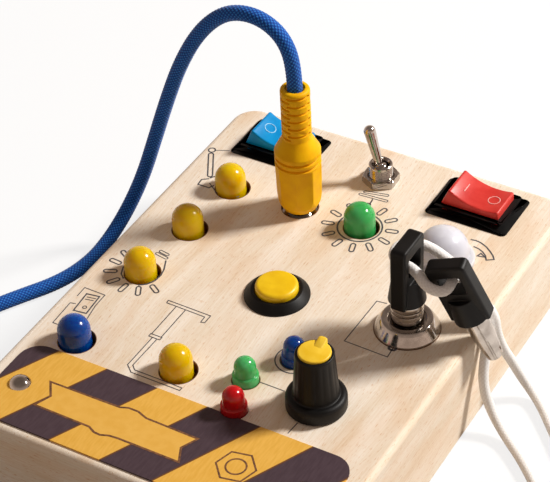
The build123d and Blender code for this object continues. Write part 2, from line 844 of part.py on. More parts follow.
def key_stem():
    stem = cone(key_stem_tip, key_stem_radius, -key_stem_length, -key_stem_length / 2)
    stem += disc(key_stem_radius, -key_stem_length / 2, 2 * key_seat)
    stem -= disc(key_stem_bore, -key_stem_length, key_stem_bore_depth - key_stem_length)
    return stem - block(key_stem_slot, 2 * key_stem_radius, -key_stem_length,
                        key_stem_bore_depth / 2 - key_stem_length)


def keys():
    in_lock = Pos(*lock_at, barrel_top + key_seat)
    save("lock_key_bow", in_lock * key_bow())
    save("lock_key_stem", in_lock * key_stem())
    hanging = Pos(*spare_key_top) * Rot(0, 0, spare_key_turn) * Rot(0, -spare_key_lean, 0)
    hanging *= Rot(spare_key_tilt, 0, 0) * Pos(0, 0, -key_height) * Rot(0, 0, 90)
    save("spare_key_bow", hanging * key_bow())
    save("spare_key_stem", hanging * key_stem())


# Dimmer

def d_section(radius, low, high):
    return disc(radius, low, high) - block(2 * shaft_flat, 2 * radius, low, high, (radius, 0))


def dimmer():
    low = under_top - dimmer_depth
    bushing_top = top + dimmer_bushing_rise
    body = disc(dimmer_radius, low, under_top) + disc(dimmer_bushing, under_top, bushing_top)
    foot = low + shaft_foot
    body -= disc(shaft_radius + fit, foot - barrel_foot_gap, bushing_top)
    save("dimmer_body", moved(body, dimmer_at))
    save("dimmer_nut", hexagon(dimmer_nut_flats, dimmer_bushing + fit, top, top + dimmer_nut_height,
                               dimmer_at))
    bottom = top + knob_gap
    shaft_top = top + shaft_rise
    shaft = disc(shaft_radius, foot, bushing_top) + d_section(shaft_radius, bushing_top, shaft_top)
    save("dimmer_shaft", moved(shaft, dimmer_at))
    knob = disc(knob_skirt, bottom, bottom + knob_skirt_height)
    knob += cone(knob_low, knob_high, bottom + knob_skirt_height, bottom + knob_height)
    knob -= disc(knob_hollow, bottom, bottom + knob_hollow_height)
    knob -= d_section(shaft_radius + fit / 2, bottom, shaft_top)
    seat = bottom + knob_height - knob_cap_seat
    knob -= disc(knob_cap_radius, seat, seat + knob_cap_seat)
    save("knob_body", moved(knob, dimmer_at))
    cap = disc(knob_cap_radius, seat, bottom + knob_height + knob_cap_rise)
    crown = bottom + knob_height
    cap += span(-pointer_width / 2, pointer_width / 2, pointer_start, knob_high, crown,
                crown + knob_cap_rise + pointer_rise)
    save("knob_cap", moved(cap, dimmer_at))


# Jack and plug

def jack():
    socket = block(jack_size, jack_size, board_top, under_top)
    sleeve_low = top - sleeve_depth
    socket -= disc(sleeve_radius, sleeve_low, under_top)
    save("socket_body", moved(socket, jack_at))
    sleeve = disc(sleeve_radius, sleeve_low, top - sleeve_recess)
    sleeve -= disc(sleeve_bore, sleeve_low + 1, top - sleeve_recess)
    save("socket_sleeve", moved(sleeve, jack_at))


def plug():
    grip = turned((0, 0), (plug_foot, 0), (plug_low, plug_low_height), (plug_grip, plug_grip_start),
                  (plug_grip, plug_grip_end), (plug_neck, plug_neck_start), (plug_neck, plug_height),
                  (0, plug_height))
    flats = loft([Pos(0, 0, z) * Rot(0, 0, 22.5) * RegularPolygon(size / 2, 8, major_radius=False)
                  for z, size in ((0, plug_flats_low), (plug_flats_height, plug_flats))])
    grip -= disc(2 * plug_grip, 0, plug_flats_height) - flats
    grip = fillet(grip.faces().sort_by(Axis.Z)[-1].edges(), relief_edge)
    for level in plug_grooves:
        grip -= disc(2 * plug_grip, level, level + plug_groove_height) - disc(
            plug_grip - plug_groove, level, level + plug_groove_height)
    arc = 1.5 * plug_neck
    for step in range(relief_count):
        level = relief_start + step * relief_pitch
        ring = disc(2 * plug_neck, level, level + relief_groove_height)
        ring -= disc(plug_neck - plug_groove, level, level + relief_groove_height)
        side = Rot(0, 0, 45 + 90 * (step % 2))
        grip -= side * (ring & block(4 * plug_neck, arc, level, level + relief_groove_height))
    grip -= disc(lead_radius + plug_recess_room, plug_height - plug_recess, plug_height)
    grip -= disc(contact_radius, 0, 2 * plug_groove)
    save("plug_body", Pos(*jack_at, plug_bottom) * grip)
    contact_low = plug_bottom - plug_gap - contact_depth
    contact = disc(contact_radius, contact_low, plug_bottom + 2 * plug_groove)
    contact = chamfer(contact.faces().sort_by(Axis.Z)[0].edges(), 0.8)
    save("plug_contact", moved(contact, jack_at))


# Cords

def cord_path(name, points, radius):
    runs = [Vector(*b) - Vector(*a) for a, b in zip(points, points[1:])]
    bends = []
    for first, second in zip(runs, runs[1:]):
        turn = radians(first.get_angle(second))
        bends.append(0.45 * min(first.length, second.length) / tan(turn / 2))
    path = FilletPolyline(*points, radius=bends)
    print(name, "bend radii in mm:", " ".join(f"{bend:.1f}" for bend in bends))
    print(name, f"length {path.length:.1f} mm")
    tube = sweep(Plane(origin=path @ 0, z_dir=path % 0) * Circle(radius), path=path)
    print(name, "volume", round(tube.volume, 1), "section x length",
          round(Circle(radius).area * path.length, 1))
    return tube


lead_drop = [                 # from the jack's axis, heights above the table
    (-2.15, -0.1, 72.4), (-6.75, -0.1, 75.9), (-12.55, -0.1, 76.6), (-18.55, -0.1, 74.3),
    (-24.95, -0.1, 67.6), (-30.75, -0.1, 57.3), (-35.45, -0.1, 45.6), (-39.95, -0.3, 32.8),
    (-44.15, -1.3, 20), (-48.05, -4.1, 9.8), (-50.55, -10.1, 3.2),
]
lead_on_table = [             # from the grommet's hole, heights above the table
    (-17.9, 53.5, 1.9), (-20.4, 44, 1.9), (-26.3, 34.8, 1.9), (-31.2, 26.5, 1.9),
    (-32.6, 17.5, 1.9), (-29.5, 8.5, 2.1), (-22.5, 2, 4), (-13.5, -0.4, 7.2), (-5, 0, 9),
]
key_cord_route = [
    (75.6, -17.6, 3.2), (72.6, -12, 1.5), (67.5, -5.2, 1.2), (60.6, 1.6, 1.3), (54.2, 6.6, 1.5),
    (49.8, 8.6, 5.4), (47.5, 8.8, 11.8), (46.7, 10.8, 17.5), (46.5, 13.4, 23.6), (45.4, 13.4, 27.6),
    (42.4, 12.8, 31), (40.8, 12.4, 35), (40.4, 12.2, 39), (40.6, 10.8, 42.6), (41.2, 6, 43.3),
    (41.6, 1.2, 42.8), (37.4, 0.6, 43.2), (32.8, 4.7, 43.4), (27.9, 5.4, 43.4), (26, 7, 43.4),
    (25.7, 10.4, 43.4), (28.2, 12.7, 43.6), (32, 13.8, 42.6), (35.6, 14.4, 40.2), (39.2, 15, 37.4),
    (41.4, 15.6, 34), (43.6, 16, 30.2), (46.5, 16.2, 26.6), (46.9, 16.4, 22), (47.8, 17.8, 16.6),
    (49.4, 20.2, 10.8), (51.4, 21.8, 5.2), (54.2, 21.8, 1.8), (58, 18.6, 1.3), (63, 13, 1.2),
    (69, 6.5, 1.2), (74.4, -1.5, 1.3), (77.4, -10.5, 1.8), (77, -17.6, 3.4),
]


def lead():
    axis_y, axis_z = grommet_y, grommet_height
    inner_face = left + side_wall
    plug_exit = [(*jack_at, plug_top - plug_recess), (*jack_at, plug_top + lead_straight)]
    lead_end = (inner_face + lead_inside, axis_y, axis_z)
    drop = [(jack_at[0] + x, jack_at[1] + y, z) for x, y, z in lead_drop]
    on_table = [(left + x, axis_y + y, z) for x, y, z in lead_on_table]
    save("lead", cord_path("lead", plug_exit + drop + on_table + [lead_end], lead_radius))
    grommet = along_x(grommet_flange, left - grommet_flange_thickness, left, axis_y, axis_z)
    grommet += along_x(grommet_neck, left, inner_face, axis_y, axis_z)
    grommet += along_x(grommet_inner, inner_face, inner_face + grommet_inner_thickness, axis_y, axis_z)
    grommet -= along_x(lead_radius + fit, left - 2 * grommet_flange_thickness,
                       inner_face + 2 * grommet_inner_thickness, axis_y, axis_z)
    save("lead_grommet", grommet)
    return lead_end


def inner_wires(lead_end):
    wires = []
    for side in (-1, 1):
        x, y, z = lead_end
        y += side * lead_radius / 2
        landing = -board_half + 3.0 + side
        far = board_front - tongue_length + 3.0 - side
        wires.append([(x, y, z), (x + 1.6, y, z), (landing, y + 1.0, z + 1.8), (landing, far, z + 1.4),
                      (landing, far, board_top)])
    tab_x = -nub_end - contact_thickness / 2
    high = holder_top + 2 * wire_radius
    for side in (-1, 1):
        x = tab_x + side * (contact_thickness / 2 + wire_radius)
        start = cover_y + side * cell_pitch / 2
        wires.append([(x, start - 1.0, high), (x, holder_back + wire_radius, high),
                      (x, board_front + 0.9, high - 2.5), (x, board_front + 0.9, board_top)])
    shapes = []
    for points in wires:
        path = FilletPolyline(*points, radius=0.8)
        shapes.append(sweep(Plane(origin=path @ 0, z_dir=path % 0) * Circle(wire_radius), path=path))
    group("inner_wires", shapes)


def key_cord():
    save("key_cord", cord_path("key_cord", key_cord_route, key_cord_radius))
    ends = [Vector(*key_cord_route[0]), Vector(*key_cord_route[-1])]
    middle = (ends[0] + ends[1]) / 2 + Vector(0, -knot_length / 2, 0)
    middle = Vector(middle.X, middle.Y, max(middle.Z, knot_radius))
    knot = Rot(90, 0, 0) * Cylinder(knot_radius, knot_length)
    knot = Pos(*middle) * fillet(knot.edges().filter_by(GeomType.CIRCLE), knot_rounding)
    for side in (-1, 1):
        tail = Rot(90, 0, side * tail_angle) * Cylinder(key_cord_radius, knot_tail, align=stand)
        knot += Pos(middle.X + side * tail_spread, middle.Y, knot_radius / 2) * tail
    save("cord_knot", knot)


wooden_body()
striped_plate()
base_panel()
battery_cover()
battery_holder()
batteries()
circuit_board(lamp_leads())
group("switch_pins", pin_pieces())
board_components()
rocker_switch("blue", blue_switch_at)
rocker_switch("red", red_switch_at)
toggle_switch()
lamps()
push_button()
key_switch()
keys()
dimmer()
jack()
plug()
inner_wires(lead())
key_cord()
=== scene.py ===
import math

import bmesh
import bpy
from mathutils import Matrix, Vector


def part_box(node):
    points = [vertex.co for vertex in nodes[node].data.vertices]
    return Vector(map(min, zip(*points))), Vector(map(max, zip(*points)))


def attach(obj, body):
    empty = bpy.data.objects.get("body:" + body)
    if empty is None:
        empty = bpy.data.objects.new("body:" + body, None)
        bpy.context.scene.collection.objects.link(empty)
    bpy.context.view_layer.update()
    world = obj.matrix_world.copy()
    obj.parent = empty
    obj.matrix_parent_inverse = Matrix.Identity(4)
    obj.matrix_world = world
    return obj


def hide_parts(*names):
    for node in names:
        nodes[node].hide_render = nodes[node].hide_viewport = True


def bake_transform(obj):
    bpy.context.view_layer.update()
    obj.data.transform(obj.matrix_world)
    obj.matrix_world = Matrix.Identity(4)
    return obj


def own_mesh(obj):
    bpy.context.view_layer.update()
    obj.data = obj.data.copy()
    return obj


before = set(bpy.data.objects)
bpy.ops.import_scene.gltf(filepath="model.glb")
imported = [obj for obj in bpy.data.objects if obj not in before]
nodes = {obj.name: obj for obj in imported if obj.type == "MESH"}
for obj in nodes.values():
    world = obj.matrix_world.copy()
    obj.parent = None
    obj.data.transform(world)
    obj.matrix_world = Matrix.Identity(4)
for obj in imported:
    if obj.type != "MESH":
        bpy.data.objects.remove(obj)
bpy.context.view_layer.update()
mm = 0.001


def middleOf(node):
    low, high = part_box(node)
    return (low + high) / 2


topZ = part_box("wooden_body")[1].z
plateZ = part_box("striped_plate")[1].z
print("frame loaded:", len(nodes), "nodes")


# Material tools

def fromHex(code):
    # an sRGB hex value as linear red, green, blue, alpha
    parts = [int(code[i:i + 2], 16) / 255 for i in (1, 3, 5)]
    return [p / 12.92 if p <= 0.04045 else ((p + 0.055) / 1.055) ** 2.4 for p in parts] + [1.0]


def addNode(tree, kind, links={}, values={}, **settings):
    node = tree.nodes.new("ShaderNode" + kind)
    for name, value in settings.items():
        setattr(node, name, value)
    for name, value in values.items():
        node.inputs[name].default_value = value
    for name, socket in links.items():
        tree.links.new(socket, node.inputs[name])
    return node


def newMaterial(name, shaderValues={}):
    material = bpy.data.materials.new(name)
    material.use_nodes = True
    tree = material.node_tree
    shader = tree.nodes["Principled BSDF"]
    for key, value in shaderValues.items():
        shader.inputs[key].default_value = value
    return material, tree, shader


def placeInMm(tree):
    place = addNode(tree, "TexCoord").outputs["Object"]
    return addNode(tree, "VectorMath", {0: place}, {"Scale": 1 / mm}, operation="SCALE").outputs[0]


def noiseOf(tree, inMm, sizes, detail):
    # sizes: the pattern's own in mm along X, Y and Z
    scale = [1 / size for size in sizes]
    stretched = addNode(tree, "Mapping", {"Vector": inMm}, {"Scale": scale}).outputs[0]
    return addNode(tree, "TexNoise", {"Vector": stretched}, {"Scale": 1.0, "Detail": detail}).outputs[0]


def splitInputs(inputs):
    # the inputs to link and the inputs to set, by number
    sockets = {i: value for i, value in inputs.items() if isinstance(value, bpy.types.NodeSocket)}
    return sockets, {i: value for i, value in inputs.items() if i not in sockets}


def mathOf(tree, operation, *inputs):
    return addNode(tree, "Math", *splitInputs(dict(enumerate(inputs))), operation=operation).outputs[0]


def mapped(tree, value, low, high, first=0.0, last=1.0):
    return addNode(tree, "MapRange", {0: value}, {1: low, 2: high, 3: first, 4: last}).outputs[0]


def numberMix(tree, share, first, second):
    return addNode(tree, "Mix", *splitInputs({0: share, 2: first, 3: second})).outputs[0]


def colorMix(tree, share, first, second, way="MIX"):
    inputs = splitInputs({0: share, 6: first, 7: second})
    return addNode(tree, "Mix", *inputs, data_type="RGBA", blend_type=way).outputs[2]


def addBump(tree, shader, height, depth):
    bump = addNode(tree, "Bump", {"Height": height}, {"Strength": 1.0, "Distance": depth * mm})
    tree.links.new(bump.outputs[0], shader.inputs["Normal"])


def toneOf(tree, factor, dark, light, low=0.35, high=0.65):
    return colorMix(tree, mapped(tree, factor, low, high), fromHex(dark), fromHex(light))


def surface(name, dark, light, patch, rough, grain, depth, shaderValues={}):
    # patch: size of the tone's patches, grain and depth: of the bumps, all in mm
    material, tree, shader = newMaterial(name, shaderValues)
    inMm = placeInMm(tree)
    patches = noiseOf(tree, inMm, (patch,) * 3, 4.0)
    grains = noiseOf(tree, inMm, (grain,) * 3, 2.0)
    tree.links.new(toneOf(tree, patches, dark, light), shader.inputs["Base Color"])
    tree.links.new(mapped(tree, patches, 0.3, 0.7, *rough), shader.inputs["Roughness"])
    addBump(tree, shader, grains, depth)
    return material


# Maple: pale hardwood, planed and oiled, so fine fibres along Y and a faint satin

maple = {"dark": "#E8D4B8", "light": "#FAF0E2", "rosy": "#F9EFE5", "speck": "#EBD3BA",
         "fibre": (0.32, 9.0, 0.32), "band": (6.0, 70.0, 5.0), "fleck": (0.2, 1.7, 0.2),
         "figure": (9.0, 24.0, 9.0), "depth": 0.025, "sway": (22, 60, 22), "swayReach": 7.0,
         "bandShare": 0.55, "rough": (0.5, 0.66)}


def crossedAtEnds(tree, inMm):
    # the grain runs front to back on top and sideways on the front and back faces
    axes = addNode(tree, "SeparateXYZ", {0: inMm})
    crossed = addNode(tree, "CombineXYZ", {0: axes.outputs[1], 1: axes.outputs[0],
                                           2: axes.outputs[2]}).outputs[0]
    facing = addNode(tree, "SeparateXYZ", {0: addNode(tree, "TexCoord").outputs["Normal"]}).outputs[1]
    atEnd = mathOf(tree, "GREATER_THAN", mathOf(tree, "MULTIPLY", facing, facing), 0.5)
    return addNode(tree, "Mix", {0: atEnd, 4: inMm, 5: crossed}, data_type="VECTOR").outputs[1]


def mapleWood(name, wood):
    material, tree, shader = newMaterial(name, {"Specular IOR Level": 0.35})
    inMm = crossedAtEnds(tree, placeInMm(tree))
    reach = mathOf(tree, "MULTIPLY", noiseOf(tree, inMm, wood["sway"], 1.0), wood["swayReach"])
    sideways = addNode(tree, "CombineXYZ", {0: reach}).outputs[0]
    swayed = addNode(tree, "VectorMath", {0: inMm, 1: sideways}, operation="ADD").outputs[0]
    layers = {}
    for part, detail in (("fibre", 3.0), ("band", 2.0), ("fleck", 1.0), ("figure", 2.0)):
        layers[part] = noiseOf(tree, swayed, wood[part], detail)
    both = numberMix(tree, wood["bandShare"], layers["fibre"], layers["band"])
    base = toneOf(tree, both, wood["dark"], wood["light"], 0.32, 0.62)
    figure = toneOf(tree, layers["figure"], wood["rosy"], "#FFFFFF", 0.3, 0.5)
    washed = colorMix(tree, 1.0, base, figure, "MULTIPLY")
    flecks = toneOf(tree, layers["fleck"], "#FFFFFF", wood["speck"], 0.62, 0.74)
    tree.links.new(colorMix(tree, 1.0, washed, flecks, "MULTIPLY"), shader.inputs["Base Color"])
    tree.links.new(mapped(tree, layers["fibre"], 0.3, 0.7, *wood["rough"]), shader.inputs["Roughness"])
    addBump(tree, shader, layers["fibre"], wood["depth"])
    return material


# The plate: flat amber and plum inks with a scorched line where they meet, matt

stripes = {"amber": ("#E8B248", "#F0BC56"), "plum": ("#46363E", "#4E3E46"), "scorch": "#6B4428",
           "width": 12.85, "lean": -0.5, "start": -34.4, "startY": -36.9, "line": 0.016}


def stripedInk(name, inks):
    material, tree, shader = newMaterial(name, {"Roughness": 0.55, "Specular IOR Level": 0.3})
    inMm = placeInMm(tree)
    axes = addNode(tree, "SeparateXYZ", {0: inMm})
    leaned = mathOf(tree, "MULTIPLY_ADD", axes.outputs[1], inks["lean"], axes.outputs[0])
    shift = inks["start"] + inks["lean"] * inks["startY"] - 40 * inks["width"]
    count = mathOf(tree, "DIVIDE", mathOf(tree, "ADD", leaned, -shift), inks["width"])
    dark = mathOf(tree, "GREATER_THAN", mathOf(tree, "MODULO", count, 2.0), 1.0)
    near = mathOf(tree, "PINGPONG", count, 0.5)
    scorch = mapped(tree, near, inks["line"] * 0.6, inks["line"] * 1.4, 1.0, 0.0)
    speck = noiseOf(tree, inMm, (0.5, 3.0, 0.5), 3.0)
    amber, plum = (toneOf(tree, speck, *inks[part]) for part in ("amber", "plum"))
    inked = colorMix(tree, dark, amber, plum)
    lined = colorMix(tree, scorch, inked, fromHex(inks["scorch"]))
    tree.links.new(lined, shader.inputs["Base Color"])
    addBump(tree, shader, speck, 0.006)
    return material


# Lens resin: dyed diffused epoxy, cast and glossy, so it glows inside and has a sharp highlight

def lensResin(name, dark, light, clear=0.2, rough=0.16):
    return surface(name, dark, light, 9.0, (rough, rough + 0.05), 2.5, 0.01, {
        "Transmission Weight": clear, "Subsurface Weight": 1.0, "Subsurface Scale": 3.2 * mm,
        "Subsurface Radius": (1.0, 1.0, 1.0), "IOR": 1.5, "Specular IOR Level": 0.3,
        "Coat Weight": 0.05, "Coat Roughness": 0.08})


# Turned and plated metal: bright, with a fine grain bump

def plated(name, dark, light, rough, grain=0.35, depth=0.004):
    return surface(name, dark, light, 3.0, rough, grain, depth, {"Metallic": 1.0})


# Braid: woven polyester yarn, its crossings read from the attribute that the cord's mesh carries

def braid(name, valley, yarn, crown):
    material, tree, shader = newMaterial(name, {
        "Roughness": 0.72, "Sheen Weight": 0.35, "Sheen Roughness": 0.4, "Specular IOR Level": 0.25})
    inMm = placeInMm(tree)
    weave = addNode(tree, "Attribute", attribute_name="weave").outputs["Fac"]
    yarns = noiseOf(tree, inMm, (0.16,) * 3, 2.0)
    shade = numberMix(tree, 0.22, weave, yarns)
    # the valley colour is painted shade in the hollows between the yarns, the crown colour a painted
    # highlight on the raised crossings
    creaseShadedYarn = toneOf(tree, shade, valley, yarn, 0.1, 0.5)
    raised = mapped(tree, shade, 0.5, 0.85)
    tree.links.new(colorMix(tree, raised, creaseShadedYarn, fromHex(crown)), shader.inputs["Base Color"])
    addBump(tree, shader, yarns, 0.05)
    return material


finishes = {
    "maple": mapleWood("maple_planed", maple),
    "panel_wood": mapleWood("birch_ply", dict(maple, dark="#CFA876", light="#E9CDA2")),
    "plate_print": stripedInk("plate_inks", stripes),
    # chrome: the grey is the plating's own, its warm tint a painted reflection of the wood around it
    "chrome": plated("chrome_warm_reflection_painted", "#A39B94", "#C2BBB4", (0.1, 0.2)),
    "screw_steel": plated("zinc_screw", "#D8D8DC", "#F0F0F3", (0.34, 0.44), 0.25, 0.012),
    # ABS, moulded with a fine spark texture, so black keeps a soft sheen only towards the lamp
    "black_plastic": surface("abs_black", "#070707", "#0D0C0C", 4.0, (0.4, 0.52), 0.22, 0.012,
                             {"Specular IOR Level": 0.22}),
    "blue_plastic": surface("abs_blue", "#0088CC", "#0496DA", 4.0, (0.34, 0.44), 0.3, 0.01,
                            {"Specular IOR Level": 0.16}),
    "red_plastic": surface("abs_red", "#CC2E28", "#DA3E36", 4.0, (0.34, 0.44), 0.3, 0.01,
                           {"Specular IOR Level": 0.35}),
    "yellow_plastic": surface("abs_yellow", "#EFC000", "#FAD010", 4.0, (0.34, 0.42), 0.3, 0.008),
    "yellow_lens": lensResin("resin_yellow", "#EABF00", "#F4CF00", 0.2),
    "blue_lens": lensResin("resin_blue", "#0049A4", "#005ABC", 0.3),
    "green_lens": lensResin("resin_green", "#42BC62", "#66D084", 0.25),
    "red_lens": lensResin("resin_red", "#B00810", "#D8141C"),
    "white_lens": lensResin("resin_frosted", "#D6D8E4", "#E6E8F2", 0.12, 0.3),
    # silicone rubber, moulded, dusty satin
    "yellow_rubber": surface("silicone_yellow", "#F2C41A", "#FAD238", 3.0, (0.42, 0.55), 0.3, 0.012),
    "black_rubber": surface("rubber_black", "#101011", "#1A1A1B", 2.5, (0.5, 0.64), 0.2, 0.016),
    "brass": plated("brass_turned", "#B58A3E", "#D3A958", (0.22, 0.32)),
    "tinned_copper": plated("tinned_copper", "#A9A7A1", "#CBC9C2", (0.25, 0.38)),
    "spring_steel": plated("spring_steel", "#8C8B89", "#B3B1AE", (0.2, 0.32)),
    "circuit_green": surface("solder_mask", "#0F5A32", "#1A7443", 6.0, (0.28, 0.4), 0.5, 0.01),
    "cell_jacket": surface("printed_film", "#2B2B2F", "#3C3C42", 8.0, (0.25, 0.35), 1.0, 0.005,
                           {"Coat Weight": 0.4}),
    # in each braid the first colour is painted shade in the hollows and the last a painted highlight on
    # the crossings
    "blue_braid": braid("polyester_blue", "#022460", "#0052B8", "#3C92E8"),
    "white_braid": braid("polyester_white", "#EFEDEB", "#F9F8F7", "#FFFFFF"),
    "wire_sleeve": surface("pvc_sleeve", "#A01B1B", "#BC2A26", 3.0, (0.35, 0.45), 0.3, 0.01),
}
# PVC of the plug, moulded soft and satin
amberVinyl = surface("vinyl_amber", "#F4B400", "#FCC200", 3.0, (0.45, 0.55), 0.3, 0.01,
                     {"Specular IOR Level": 0.16})
# ink on wood: screen printed, slightly broken by the fibres
printInk = surface("screen_ink", "#3E3F45", "#5A5A60", 0.8, (0.5, 0.6), 0.3, 0.005)
scorchedWood = surface("scorched_edge", "#5B3A22", "#8A5C38", 0.8, (0.6, 0.75), 0.3, 0.02)
amberInk = surface("amber_ink", "#EAB44A", "#EFBB54", 2.0, (0.52, 0.6), 0.4, 0.005)
# the O and I are embossed in the rockers' own plastic; their paler tint is a painted highlight on the
# raised marks
markHighlight = {"blue": surface("emboss_highlight_sky", "#86C8F0", "#A6DAF8", 1.5, (0.4, 0.5), 0.3, 0.004),
             "red": surface("emboss_highlight_rose", "#F0A09A", "#F8BDB8", 1.5, (0.4, 0.5), 0.3, 0.004)}
for name, node in nodes.items():
    for slot in node.material_slots:
        slot.material = finishes[slot.material.name]
print("materials ready:", len(finishes))


# Mesh tools

def newObject(name, data):
    made = bpy.data.objects.new(name, data)
    bpy.context.collection.objects.link(made)
    return made


def rotated(angle, vector):
    return Vector((vector.x * math.cos(angle) - vector.y * math.sin(angle),
                   vector.x * math.sin(angle) + vector.y * math.cos(angle)))


def roundedLine(points, closed=False):
    # each point is (across, up) or (across, up, radius): a corner with a radius becomes an arc
    line = []
    count = len(points)
    for i, point in enumerate(points):
        corner = Vector(point[:2])
        atEnd = not closed and i in (0, count - 1)
        radius = point[2] if len(point) > 2 else 0
        if atEnd or not radius:
            line.append(corner)
            continue
        back = (Vector(points[i - 1][:2]) - corner).normalized()
        ahead = (Vector(points[(i + 1) % count][:2]) - corner).normalized()
        half = back.angle(ahead) / 2
        centre = corner + (back + ahead).normalized() * radius / math.sin(half)
        spoke = corner + back * radius / math.tan(half) - centre
        sweep = math.pi - 2 * half
        side = 1 if back.cross(ahead) < 0 else -1
        steps = max(3, int(sweep * math.sqrt(radius) * 5))
        line += [centre + rotated(side * sweep * s / steps, spoke) for s in range(steps + 1)]
    return line


def meshPiece(name, shape, finish, body, replaced=(), crease=38, at=Matrix()):
    # shape: the points in mm and the faces that spun, slab and merged give
    verts, faces = shape
    mesh = bpy.data.meshes.new(name)
    work = bmesh.new()
    made = [work.verts.new(at @ Vector(v) * mm) for v in verts]
    for face in faces:
        if len(set(face)) > 2:
            work.faces.new([made[i] for i in face])
    bmesh.ops.remove_doubles(work, verts=work.verts, dist=1e-6)
    bmesh.ops.recalc_face_normals(work, faces=work.faces)
    caps = [face for face in work.faces if len(face.verts) > 4]
    bmesh.ops.triangulate(work, faces=caps, ngon_method="EAR_CLIP")
    work.to_mesh(mesh)
    work.free()
    piece = newObject(name, mesh)
    mesh.polygons.foreach_set("use_smooth", [True] * len(mesh.polygons))
    mesh.set_sharp_from_angle(angle=math.radians(crease))
    if isinstance(finish, str):
        mesh.materials.append(finishes[finish])
    else:
        mesh.materials.append(finish)
    if body:
        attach(piece, body)
    if replaced:
        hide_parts(*replaced)
    return piece


def joinLoops(loops, caps=(False, False)):
    # quads between loops of equal length, with the loops' own points as vertices
    verts = [v for loop in loops for v in loop]
    size = len(loops[0])
    faces = []
    for row in range(len(loops) - 1):
        for i in range(size):
            j = (i + 1) % size
            faces.append([row * size + i, row * size + j, (row + 1) * size + j, (row + 1) * size + i])
    if caps[0]:
        faces.append(list(range(size)))
    if caps[1]:
        faces.append([(len(loops) - 1) * size + i for i in range(size)])
    return verts, faces


def spun(points, around=72, radiusAt=None, closed=False):
    line = roundedLine(points, closed)
    if closed:
        line.append(line[0])
    loops = []
    for across, up in line:
        loop = []
        for step in range(around):
            angle = 2 * math.pi * step / around
            radius = radiusAt(angle, across, up) if radiusAt else across
            loop.append((radius * math.cos(angle), radius * math.sin(angle), up))
        loops.append(loop)
    return joinLoops(loops)


def slab(outline, low, high, edge, lowEdge=0.0, steps=4):
    # a flat piece whose outline shrinks over a rounded edge at the top, and at the bottom if asked
    count = len(outline)
    inward = []
    for i in range(count):
        along = (Vector(outline[(i + 1) % count]) - Vector(outline[i - 1])).normalized()
        inward.append(Vector((-along.y, along.x)))
    quarter = [math.pi / 2 * s / steps for s in range(steps + 1)]
    levels = [(0.0, low)]
    if lowEdge:
        levels = [(lowEdge * (1 - math.sin(a)), low + lowEdge * (1 - math.cos(a))) for a in quarter]
    levels += [(edge * (1 - math.cos(a)), high - edge * (1 - math.sin(a))) for a in quarter]
    loops = [[(x + side.x * inset, y + side.y * inset, level) for (x, y), side in zip(outline, inward)]
             for inset, level in levels]
    return joinLoops(loops, caps=(True, True))


def roundedRect(width, length, radius):
    w, l = width / 2, length / 2
    return [tuple(p) for p in roundedLine(
        [(-w, -l, radius), (w, -l, radius), (w, l, radius), (-w, l, radius)], True)]


def placed(verts, matrix):
    return [matrix @ Vector(v) for v in verts]


def merged(*parts):
    verts, faces = [], []
    for partVerts, partFaces in parts:
        faces += [[i + len(verts) for i in face] for face in partFaces]
        verts += partVerts
    return verts, faces


def onTop(node, rise=0.0):
    # the node's axis where it meets the top face, in mm
    at = middleOf(node) / mm
    return Matrix.Translation((at.x, at.y, topZ / mm + rise))


# voxel in mm and smoothing passes
skins = {"spring": (0.12, 2), "key": (0.13, 6), "plug": (0.11, 3)}


def softened(name, node, voxel, passes, body, finish=None):
    # moulded skin: the solid remeshed finely and smoothed, so every edge and groove is soft
    piece = newObject(name, nodes[node].data.copy())
    weld = piece.modifiers.new("weld", "WELD")
    weld.merge_threshold = 1e-6
    remesh = piece.modifiers.new("remesh", "REMESH")
    remesh.mode = "VOXEL"
    remesh.voxel_size = voxel * mm
    remesh.use_smooth_shade = True
    smooth = piece.modifiers.new("smooth", "SMOOTH")
    smooth.factor = 0.5
    smooth.iterations = passes
    depsgraph = bpy.context.evaluated_depsgraph_get()
    final = bpy.data.meshes.new_from_object(piece.evaluated_get(depsgraph))
    piece.modifiers.clear()
    piece.data = final
    final.materials.clear()
    slot = nodes[node].material_slots[0].material
    final.materials.append(finish or slot)
    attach(piece, body)
    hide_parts(node)
    return piece


# Camera: level enough to see the top and two sides

view = {"azimuth": 31.93, "elevation": 39.49, "roll": -3.21, "lens": 133.42, "distance": 476.19,
        "target": (-10.857, 18.333, 25.0)}


def addCamera(settings):
    turn, rise, roll = (math.radians(settings[key]) for key in ("azimuth", "elevation", "roll"))
    back = Vector((math.sin(turn) * math.cos(rise), -math.cos(turn) * math.cos(rise), math.sin(rise)))
    right = Vector((math.cos(turn), math.sin(turn), 0))
    up = back.cross(right)
    across = right * math.cos(roll) + up * math.sin(roll)
    upright = up * math.cos(roll) - right * math.sin(roll)
    data = bpy.data.cameras.new("camera")
    data.sensor_width = 36
    data.sensor_fit = "HORIZONTAL"
    data.lens = settings["lens"]
    camera = newObject("camera", data)
    at = (Vector(settings["target"]) + back * settings["distance"]) * mm
    camera.matrix_world = Matrix.Translation(at) @ Matrix((across, upright, back)).transposed().to_4x4()
    bpy.context.scene.camera = camera


addCamera(view)


# Cords: routes in metres, braided tubes that follow a smooth spline

